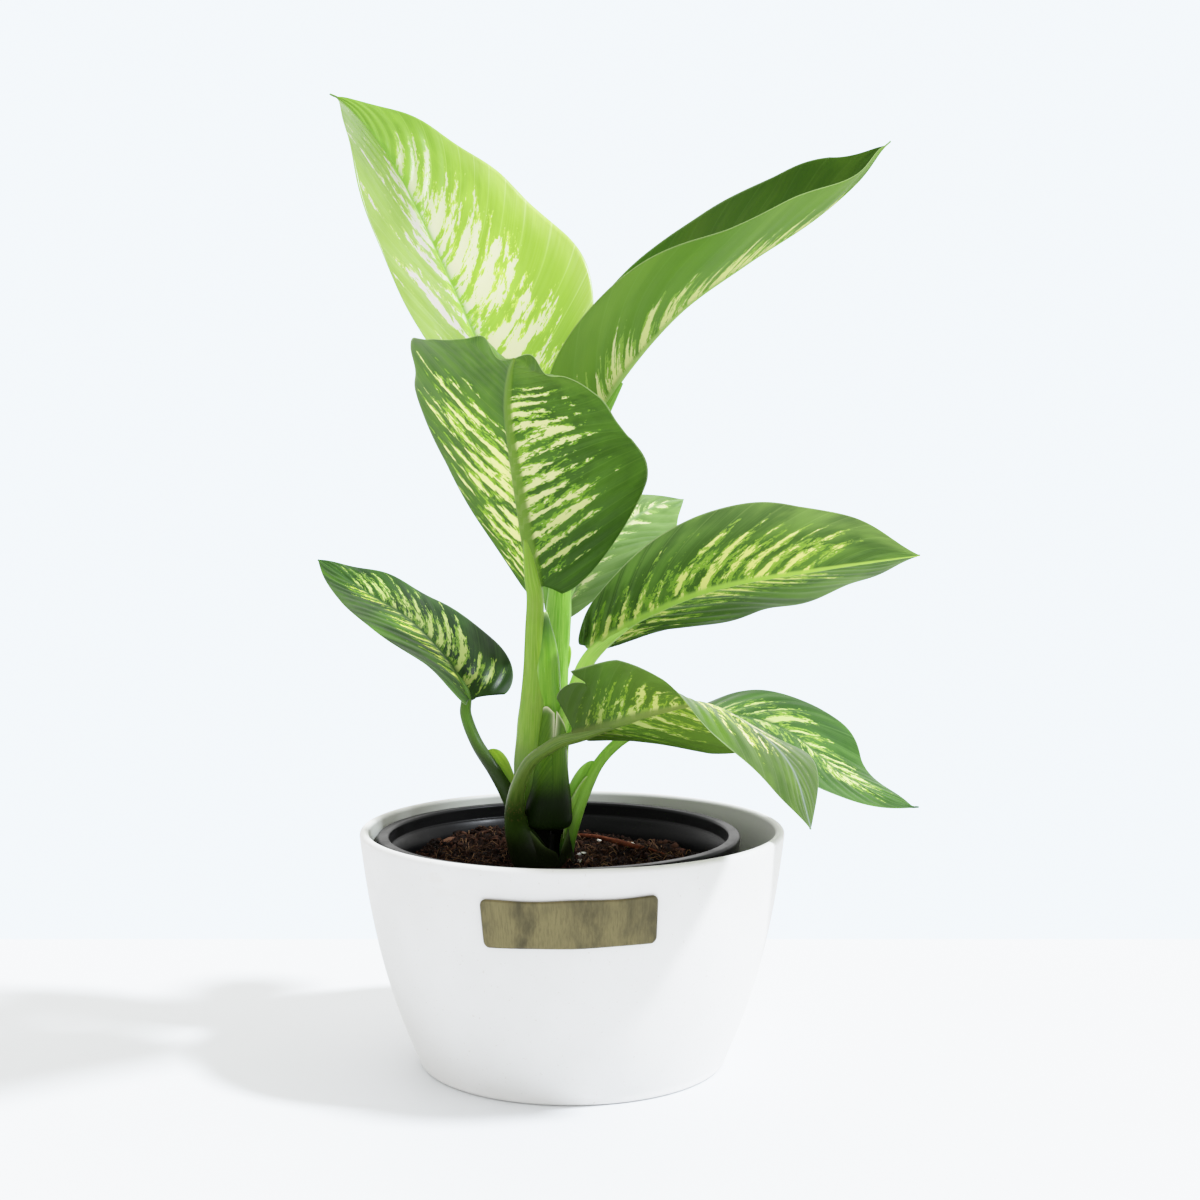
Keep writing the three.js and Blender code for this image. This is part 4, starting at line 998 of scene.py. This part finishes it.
upperRight = dict(
    name="upperRight", node="leaf_upper_right", seed=5,
    midrib=[(8, 0, 273), (21, -4, 296), (45, -8, 323), (73, -10, 343), (101, -10, 361), (120, -10, 377),
            (130, -10, 390), (134, -10, 394)],
    face=[(-0.68, 0.09, 0.73), (-0.67, -0.14, 0.72), (-0.66, -0.22, 0.71)],
    half=37, widest=0.34, thread=5,
    leftLift=[60, 54, 44, 56, 64, 58], rightLift=[54, 49, 34, 32, 24, 36], leftArch=20, rightArch=20,
    leftShare=[1, 1, 1, 1.05, 1.2, 1.3], rightShare=[1.25, 1.05, 1, 1, 1, 1],
    petiole=[(-8.5, 3, 118, 4.5), (-8, 3, 145, 5.2), (-7, 2.5, 172, 5.6), (-6, 3, 195, 5.4),
             (-4.5, 4, 215, 4.6), (-1, 4, 238, 3.6), (5, 1, 262, 3.2)],
    veins=14, lean=0.16, relief=0.25, ribWide=1.8, ribHigh=1.6,
    pattern=dict(left=(0.3, 0.0, 1.5), right=(0.42, 0.9, 1.5), tip=0.75, wide=3, long=30),
    look=dict(dark="#56900C", green="#6AA018", pale="#7FB444", lime="#A9CE52", cream="#F0F6CC",
              below="#96BC4C", belowAmount=0.4, rib="#C4DC8C", ribTop="#8FB860",
              paintedLightAndShade=[(-0.2, -0.1, 1, (1.1, 1.1, 1.0)), (0.42, 0.14, 1, (1.8, 1.45, 3.2), 0.0),
                      (0.35, 0.6, 1, (1.4, 1.2, 2.2), 0.25), (0.2, 0.4, -1, (0.75, 0.65, 0.8))]),
    skin=dict(freshSkin, green="#8CC43E", pale="#B6DC70", tint="#A2D058", fleckFrom=0.69, fleck="#E6F3C0"))
makeLeaf(upperRight)

front = dict(
    name="front", node="leaf_front", seed=7,
    midrib=[(-15, -32, 209), (-21, -44, 250), (-24, -66, 278), (-22, -95, 292), (-19, -128, 296)],
    face=[(0.42, 0.9, 0.1), (0.35, 0.8, 0.5), (0.2, 0.1, 0.95)],
    half=48, ripple=0, ripples=0, base=0.2,
    leftLift=[30, 16, 6, 6, 6, 6], rightLift=[38, 22, 12, 5, 12, 16], leftShare=[1.1, 1.2, 1.06, 1, 1, 1],
    rightShare=[0.9, 0.93, 0.97, 0.98, 1, 1, 1, 0.92, 0.97, 1, 1, 1, 1, 1, 1, 1, 1],
    leftWave=[0, 0, 0, 0.5, 0, 0, 0, 0, 0.3, 0, 0.5, 0, 0, -0.5, -2.2, 3, 0],
    rightWave=[0, 0, 0, 0, 0, 0, 0.6, -0.8, 0, 0.5, -1, -2.3, -2.4, 0, 3.4, -2, 0],
    petiole=[(-15, -3, 92, 6.5), (-17, -5, 112, 7.5), (-17.5, -8, 130, 7.5), (-16.5, -12, 150, 6.6),
             (-15.5, -17, 170, 5.4), (-15.5, -24, 188, 4), (-15, -30, 203, 3.6)],
    veins=21, relief=0.3, ribWide=3.2, ribHigh=2.4,
    pattern=dict(right=(0.92, 0.45, 3.0), left=(0.66, 0.4, 2.2), tip=(0.58, 0.38), wide=3.2, long=12,
                 fine=1.4, fineLong=3.2, fineGain=4.6, comb=0.55, leftFiner=0.9),
    look=dict(dark="#4A7614", green="#689826", pale="#93BC50", lime="#B4D84A", lime2="#98C83C",
              cream="#F8FACC", below="#7FA35E", belowAmount=0.1, rib="#8CB040", through=0.3, gloss=0.36,
              paintedLightAndShade=[(-0.2, -0.1, 1, (1.35, 1.3, 1.1)), (0.3, 0, -1, (0.7, 0.78, 0.55)),
                      (0.62, 0.85, -1, (1.5, 1.3, 1.4))]),
    skin=dict(green="#98C238", pale="#AECE54", tint="#9CB64C",
              depth=[(150, 118, "#6C9034"), (116, 104, "#080C03")]))
makeLeaf(front)

back = dict(
    name="back", node="leaf_back", seed=9,
    midrib=[(-4, 26, 195), (8, 40, 215), (23, 54, 231), (38, 62, 240), (51, 68, 243)],
    face=[(0.3, -0.8, 0.5), (0.3, -0.7, 0.7), (0.3, -0.7, 0.7)],
    half=30, ripple=1, ripples=2.5, base=0.2,
    leftLift=[20, 10, -5, -20, -30, -36], rightLift=[50, 40, 34, 24, 8, 8],
    rightShare=[0.75, 0.78, 0.8, 0.85, 1, 1],
    petiole=[(-13, 8, 100, 4.2), (-12, 10, 125, 4.4), (-10, 12, 148, 3.8), (-8, 16, 168, 3),
             (-6, 22, 186, 2.7)],
    veins=10,
    pattern=dict(left=(0.5, 0.45, 1.5), right=(0.4, 0.4, 1.5), tip=0.85),
    look=dict(dark="#86AE58", green="#A4C674", pale="#C0DA9C", lime="#C4DE90", cream="#EEF4D4",
              below="#A5C888", rib="#B2CF92", through=0.4,
              paintedLightAndShade=[(0.5, 0.1, 0, (0.7, 0.68, 0.68)), (0.4, 0.7, 0, (1.15, 1.1, 1.25))]),
    skin=freshSkin)
makeLeaf(back)

middleRight = dict(
    name="middleRight", node="leaf_middle_right", seed=2,
    midrib=[(9, -10, 181), (30, -26, 196), (60, -45, 209), (100, -62, 217), (137, -75, 223)],
    face=[(-0.3, 0.6, 0.75), (-0.3, 0.6, 0.75), (-0.2, 0.6, 0.75)],
    half=42, ripples=3.5, widest=0.38, base=0.25, lobe=3,
    leftLift=[12, 4, 8, 12, 16, 18], rightLift=[20, 6, 18, 22, 28, 16], rightArch=10,
    leftShare=[0.7, 1, 1, 1, 1, 1], rightShare=[0.5, 0.86, 0.98, 1, 1.03, 1],
    petiole=[(-6.5, -3, 100, 4.5), (-6.5, -4, 118, 4.8), (-6, -6, 136, 4.6), (-3.5, -9.5, 149, 4),
             (1.5, -12, 163, 3.5), (6, -11, 174, 3.3)],
    veins=15, lean=0.2, relief=0.5, baseRelief=4.6, ribWide=2.9,
    pattern=dict(left=(0.6, 0.35, 1.6), right=(0.7, 0.6, 2.2), tip=0.6, wide=3.8, long=14, fine=1.6,
                 fineLong=2.8, fineGain=4.8, wideGain=6, comb=0.5, core=0.7, limeBand=0.5),
    look=dict(dark="#4A7620", green="#78A63C", pale="#9CC45C", lime="#BEDC5C", lime2="#97C440",
              cream="#EEF2B4", below="#8DAE62", belowAmount=0.15, rib="#C6E274", through=0.3, gloss=0.3,
              paintedLightAndShade=[(0.3, 0.75, 0, (1.3, 1.2, 1.3)), (0.15, 0.45, 1, (1.6, 1.35, 2.0), 0.5),
                      (0.3, 0.6, -1, (1.15, 1.05, 1.4), 0.3)], paintedFoldShade=(0.9, 0.6)),
    skin=dict(freshSkin, green="#CCEE7C", pale="#E0F6A0", tint="#D2EE88",
              depth=[(140, 120, "#1E2C0B"), (114, 106, "#060903")]))
makeLeaf(middleRight)

lowerFront = dict(
    name="lowerFront", node="leaf_lower_right_front", seed=6,
    midrib=[(2, -41, 147.5), (17, -50.5, 153.5), (36, -63, 161), (54, -76, 165), (71, -88, 157),
            (85, -97, 143), (92, -102, 120)],
    face=[(0.1, 0.6, 0.8), (-0.05, 0.4, 0.9), (0.6, -0.5, 0.6)],
    half=37, base=0.55, lobe=1,
    leftLift=[14, -10, -20, -2, -2, 2], rightLift=[40, 26, -2, -12, -2, 12], leftShare=[0.5, 1, 1, 1, 1, 1],
    rightShare=[0.86, 0.86, 0.95, 1, 1, 1],
    tear=dict(at=0.1, depth=0.28, before=0.045, past=0.006, back=10, fade=0.04),
    petiole=[(-12, -3, 74, 9.5), (-15.5, -5, 84, 8.7), (-19, -8, 92, 8.3), (-22.2, -10.5, 100, 6.7),
             (-24, -13.5, 107.5, 5.1), (-24, -19, 115, 4), (-22, -26, 125, 3.1), (-17, -32, 135, 2.8),
             (-10, -36, 141, 2.7), (-4, -38.5, 144.6, 2.7)],
    veins=15, lean=0.16, relief=0.3, ribWide=2.6,
    pattern=dict(left=(0.62, 0.3, 1.8), right=(0.72, 0.15, 2.0), tip=0.62, foot=0.04, wide=3.0, long=12,
                 fineLong=2.6, fineGain=4.4, comb=0.5, limeBand=0.2),
    look=dict(dark="#4C7C1E", green="#66982C", pale="#8CB062", lime="#B0D44A", cream="#E6EEAC",
              below="#7AA238", belowAmount=0.4, rib="#8FAA50", ribTop="#8EAE80", through=0.3, gloss=0.3,
              paintedLightAndShade=[(0.2, 0.04, 0, (0.6, 0.56, 0.45)), (0.12, 0.35, 0, (1.5, 1.25, 1.4)),
                      (0.5, 0.72, 0, (1.0, 0.88, 1.5))]),
    skin=dict(green="#62842A", pale="#849C44", tint="#6E8038",
              depth=[(126, 110, "#3C561A"), (107, 94, "#1A2208")], scar=112, through=0.05))
makeLeaf(lowerFront)

lowerBack = dict(
    name="lowerBack", node="leaf_lower_right_back", seed=8,
    midrib=[(51, 4, 149), (70, -2, 151), (92, -8, 145), (116, -18, 127), (140, -24, 116), (146, -27, 115)],
    face=[(0.1, -0.1, 1), (0.2, -0.1, 0.9), (0.2, -0.3, 0.9)],
    half=31, ripple=1, ripples=2.5, thread=6,
    leftLift=[5, 16, 16, 2, -5, -10], rightLift=[-5, -8, -8, 0, -8, -10],
    petiole=[(-3.5, -3, 76, 3), (-2.5, -4, 92, 3.2), (-0.3, -5.5, 103, 3.4), (4.5, -4, 116, 3),
             (11, -2, 129, 2.5), (20, 0, 138.5, 2.3), (32, 2, 145, 2.3), (43, 3, 148, 2.3)],
    veins=13, lean=0.16, relief=0.4,
    pattern=dict(left=(0.7, 0.3, 2.0), right=(0.6, 0.3, 1.8), tip=0.7, wide=4.4, long=13, fine=1.8,
                 fineLong=3, fineGain=4.4, wideGain=6, comb=0.3, core=0.7, limeBand=0.3),
    look=dict(darkLook, dark="#3C6E18", green="#5C9030", pale="#88B460", through=0.25, shine=0.1,
              paintedLightAndShade=[(0.3, 0.6, 0, (1.3, 1.2, 1.5))]),
    skin=dict(freshSkin, green="#A0D048", pale="#B4DC60"))
makeLeaf(lowerBack)

lowerLeft = dict(
    name="lowerLeft", node="leaf_lower_left", seed=4,
    midrib=[(-45, 12, 156), (-55, 20, 172), (-73, 32, 189), (-95, 48, 201), (-119, 62, 215)],
    face=[(0.3, -0.5, 0.8), (0.3, -0.5, 0.8), (0.2, -0.5, 0.8)],
    half=25, ripple=0.6, widest=0.25, base=0.45, lobe=4,
    leftLift=[30, 14, 6, 8, -2, 0], rightLift=[16, 2, 0, 8, 8, 20], leftShare=[0.7, 1, 1, 1],
    rightShare=[1.35, 1, 1, 0.9],
    petiole=[(-19, 3, 78, 4.2), (-22, 1, 100, 4), (-27, 0, 114, 3.6), (-34, 2, 126, 3.1), (-42, 8, 137, 2.8),
             (-47, 12, 149, 2.6)],
    veins=14, lean=0.18,
    pattern=dict(left=(0.5, 0.0, 2.0), right=(0.85, 0.42, 2.2), tip=0.68, foot=0.035, wide=3.0, long=12,
                 fine=1.3, fineLong=2.4, fineGain=4.6, comb=0.5, core=0.7, limeBand=0.2),
    look=dict(darkLook, dark="#23481A", green="#4C7C26", through=0.2, ribTop="#4C7A34", shine=0.12,
              paintedLightAndShade=[(0.35, 0.05, 0, (0.55, 0.55, 0.4)), (-0.2, -0.1, -1, (2.0, 1.8, 1.2))]),
    skin=dict(freshSkin, green="#64922E", pale="#7CA83C", tint="#6E9034",
              depth=[(148, 128, "#405A20"), (112, 92, "#2C3C16")]))
makeLeaf(lowerLeft)

# sheaths: x, y, z, radius and the angles of the two margins, 0 to the front, 90 to the right
# the skins' depths and inside tones are painted shade
footSheath = dict(
    name="foot", node="leaf_lower_right_front", wall=1.4, rimPower=80, rimFrom=0.5, top=[0, 0],
    stations=[(-11.5, -1, 70, 12.3, 32, 392), (-11.5, -1, 79, 12.8, 32, 392), (-12.3, -1, 87, 13.5, 33, 392),
              (-13, -1, 92, 14.2, 36, 387), (-13.3, -1, 96, 14.5, 43, 366), (-13.5, -1, 101, 14.5, 54, 349),
              (-13.5, -1, 106, 13.8, 66, 325), (-14, -1, 112, 13, 84, 300)],
    skin=dict(green="#42621C", pale="#567428", tint="#4E5E2A",
              depth=[(110, 98, "#182006"), (90, 82, "#0E0C05")], insideShade="#0C1606", insideShadeAmount=1.0,
              rim="#8FA860", rimAmount=0.45, scar=111, through=0.03))
bulgeSheath = dict(
    name="bulge", node="leaf_middle_right", wall=1.1, rimPower=90, rimFrom=0.72,
    top=[2.5, -3, -9, -10, -9, -8, -6, -3, 1, 4, 1.5],
    stations=[(-10.3, -8, 101.6, 3, 8, 369), (-10.3, -8, 102.2, 6.8, 8, 369), (-10.3, -8, 103.8, 9.3, 8, 369),
              (-10.3, -8.3, 106.4, 10.4, 8, 369), (-10.3, -8.8, 110, 10.2, 8, 369),
              (-10.1, -9.2, 115, 9.8, 8, 369), (-9.8, -9.8, 123, 8.7, 9, 370), (-9.3, -11, 136, 7.4, 10, 369),
              (-8.4, -12.8, 145, 6.8, 11, 369), (-7.9, -13.6, 153, 6.3, 14, 366)],
    skin=dict(green="#58841A", pale="#709828", tint="#4E781C",
              depth=[(134, 115, "#1A2A08"), (105, 102, "#060903")], insideShade="#1C3A10",
              rim="#F4FADC", rimAmount=0.95, through=0.05, gloss=0.34, shine=0.05))
columnSheath = dict(
    name="column", node="leaf_front", wall=0.8, rimPower=60, rimFrom=0, top=[-2, 0, 1.5, 1, -3],
    stations=[(-11.5, -6, 138, 6.2, -30, 118), (-12, -8, 151, 7.4, -20, 112),
              (-12.5, -12, 163, 7.8, -15, 105), (-12.8, -16.2, 176, 7.5, -12, 98),
              (-13.2, -20, 187, 6.3, -10, 84), (-13.4, -23.3, 197, 4.6, -10, 66)],
    skin=dict(green="#8CC436", pale="#A8D450", tint="#98C840",
              depth=[(160, 135, "#5E9A22"), (172, 197, "#3E6E1A")], insideShade="#3E6E1E", rim="#D8E8B0",
              rimAmount=0.9, fleckFrom=0.7, fleck="#D4ECAA", through=0.12, gloss=0.34))
for sheath in (footSheath, bulgeSheath, columnSheath):
    skin = stalkMaterial(sheath["name"] + "Skin", **sheath["skin"])
    finishPiece(ringMesh(sheath["name"] + "Sheath", *sheathRings(sheath)), skin, "stalk", sheath["node"])

# free margins and auricles, each on the petiole of its leaf
limeSkin = stalkMaterial("limeSkin", green="#9CC42A", pale="#B4D040", tint="#A4CA34", through=0.4,
                         depth=[(112, 92, "#5E8E26")], rim="#DDEBA8", rimAmount=0.75)
freshWing = stalkMaterial("freshWing", green="#B4DC54", pale="#C8E878", tint="#BCE060", through=0.4,
                          depth=[(106, 90, "#5E8E26")], rim="#EAF4CC", rimAmount=0.85)
plainWing = dict(material=freshWing, thickness=0.9, frill=0.3, root=0.6, late=1.6)
for wing in (
        dict(plainWing, name="lowerLeftFlap", leaf=lowerLeft, start=0.34, end=0.76, height=5.6,
             way=(0.85, -0.25, 0.45), curl=0.2, late=2.6, material=limeSkin),
        dict(plainWing, name="lowerBackFrontMargin", leaf=lowerBack, start=0.2, end=0.53, height=3.4,
             way=(-0.5, -0.8, 0.3), curl=-0.35, late=1.4),
        dict(plainWing, name="lowerBackRearMargin", leaf=lowerBack, start=0.24, end=0.6, height=5.4,
             way=(-0.75, 0.1, 0.6), curl=0.25, late=1.4),
        dict(plainWing, name="upperRightAuricle", leaf=upperRight, start=0.34, end=0.44, height=2.6,
             way=(1, -0.3, 0), curl=0.3, root=0.7),
        dict(plainWing, name="middleAuricle", leaf=middleRight, start=0.42, end=0.7, height=4.6,
             way=(0.7, -0.6, -0.2), curl=-0.3)):
    piece = ringMesh(wing["name"], *wingRings(wing["leaf"]["petiole"], wing))
    finishPiece(piece, wing["material"], "stalk", wing["leaf"]["node"])
print("sheaths done")

# cane and the root that lies on the mix
caneSkin = stalkMaterial("caneSkin", green="#5E8434", pale="#7F9E50", tint="#6E7E48",
                         depth=[(118, 106, "#080C03")])
cane = [(-12, 0, 45, 8.5), (-12, 0, 80, 8.5), (-12, 0, 98, 7.5), (-11.5, 0.5, 112, 5.5)]
makeStalk("caneCore", cane, caneSkin, "cane")

root = dict(path=[(0, 57, 86.5, 0.65), (11, 45, 88.2, 0.9), (24, 31, 87.6, 0.95), (34, 22, 87.2, 0.75),
                  (41, 16, 86.2, 0.5)], columns=16, lumps=0.5, seed=5)


def rootMaterial():
    # dry reddish bark, cracked along the root
    material, tree = newMaterial("dryRoot")
    crack = noise(tree, stretched(tree, ownMap(tree), (0.25, 0.9, 1)), 1, 5, 0.7)
    base = blend(tree, ramp(tree, crack, 0.35, 0.65), shown("#2A120A"), shown("#8A4828"))
    return close(material, surface(tree, base, 0.75, bump(tree, crack, 0.8, 0.0006), 0.04))


rings = tubeRings(root["path"], root["columns"], root["lumps"], root["seed"])
finishPiece(ringMesh("surfaceRoot", *rings), rootMaterial(), "dry_root", "surface_root")
print("cane and root done")

# floor, light and sky
stage = dict(floor=(-3000, 3000, -3000, 205), sun=(0.603, -0.168, 0.779), sunPower=2.7, sunSoft=6.0,
             sunColour=(0.93, 1.0, 1.1), sky=0.74, skyColour=(1.0, 1.0, 0.985, 1), bright=(0.1, 0.38, 0.15),
             wall=1.04, wallColour=(0.9, 1.05, 1.22, 1))


def floorMaterial():
    # pale, a little clouded
    material, tree = newMaterial("paleFloor")
    cloud = noise(tree, objectPlace(tree), 4, 2, 0.5)
    base = blend(tree, ramp(tree, cloud, 0.3, 0.7), (0.75, 0.77, 0.79, 1), (0.77, 0.79, 0.81, 1))
    return close(material, surface(tree, base, 0.6))


x0, x1, y0, y1 = stage["floor"]
floor = buildMesh("floor", [(x0, y0, 0), (x1, y0, 0), (x1, y1, 0), (x0, y1, 0)], [np.array([[0, 1, 2, 3]])])
floor.data.materials.append(floorMaterial())

sunData = bpy.data.lights.new("sun", "SUN")
sunData.energy = stage["sunPower"]
sunData.angle = math.radians(stage["sunSoft"])
sunData.color = stage["sunColour"]
sun = bpy.data.objects.new("sun", sunData)
sun.rotation_euler = Vector(stage["sun"]).to_track_quat("Z", "Y").to_euler()
bpy.context.scene.collection.objects.link(sun)

# the camera sees an even pale wall, the light comes from a sky that is brighter on one side
world = bpy.data.worlds.new("sky")
world.use_nodes = True
tree = world.node_tree
tree.nodes.clear()
way = put(tree, "TexCoord").outputs["Generated"]
towards = put(tree, "VectorMath", {0: way, 1: stage["bright"]}, operation="DOT_PRODUCT").outputs[1]
power = calc(tree, "MULTIPLY_ADD", towards, stage["sky"], stage["sky"])
soft = put(tree, "Background", {"Color": stage["skyColour"], "Strength": power}).outputs[0]
wall = put(tree, "Background", {"Color": stage["wallColour"], "Strength": stage["wall"]}).outputs[0]
seen = put(tree, "LightPath").outputs["Is Camera Ray"]
both = put(tree, "MixShader", {0: seen, 1: soft, 2: wall}).outputs[0]
put(tree, "OutputWorld", {"Surface": both})
bpy.context.scene.world = world
print("stage done")
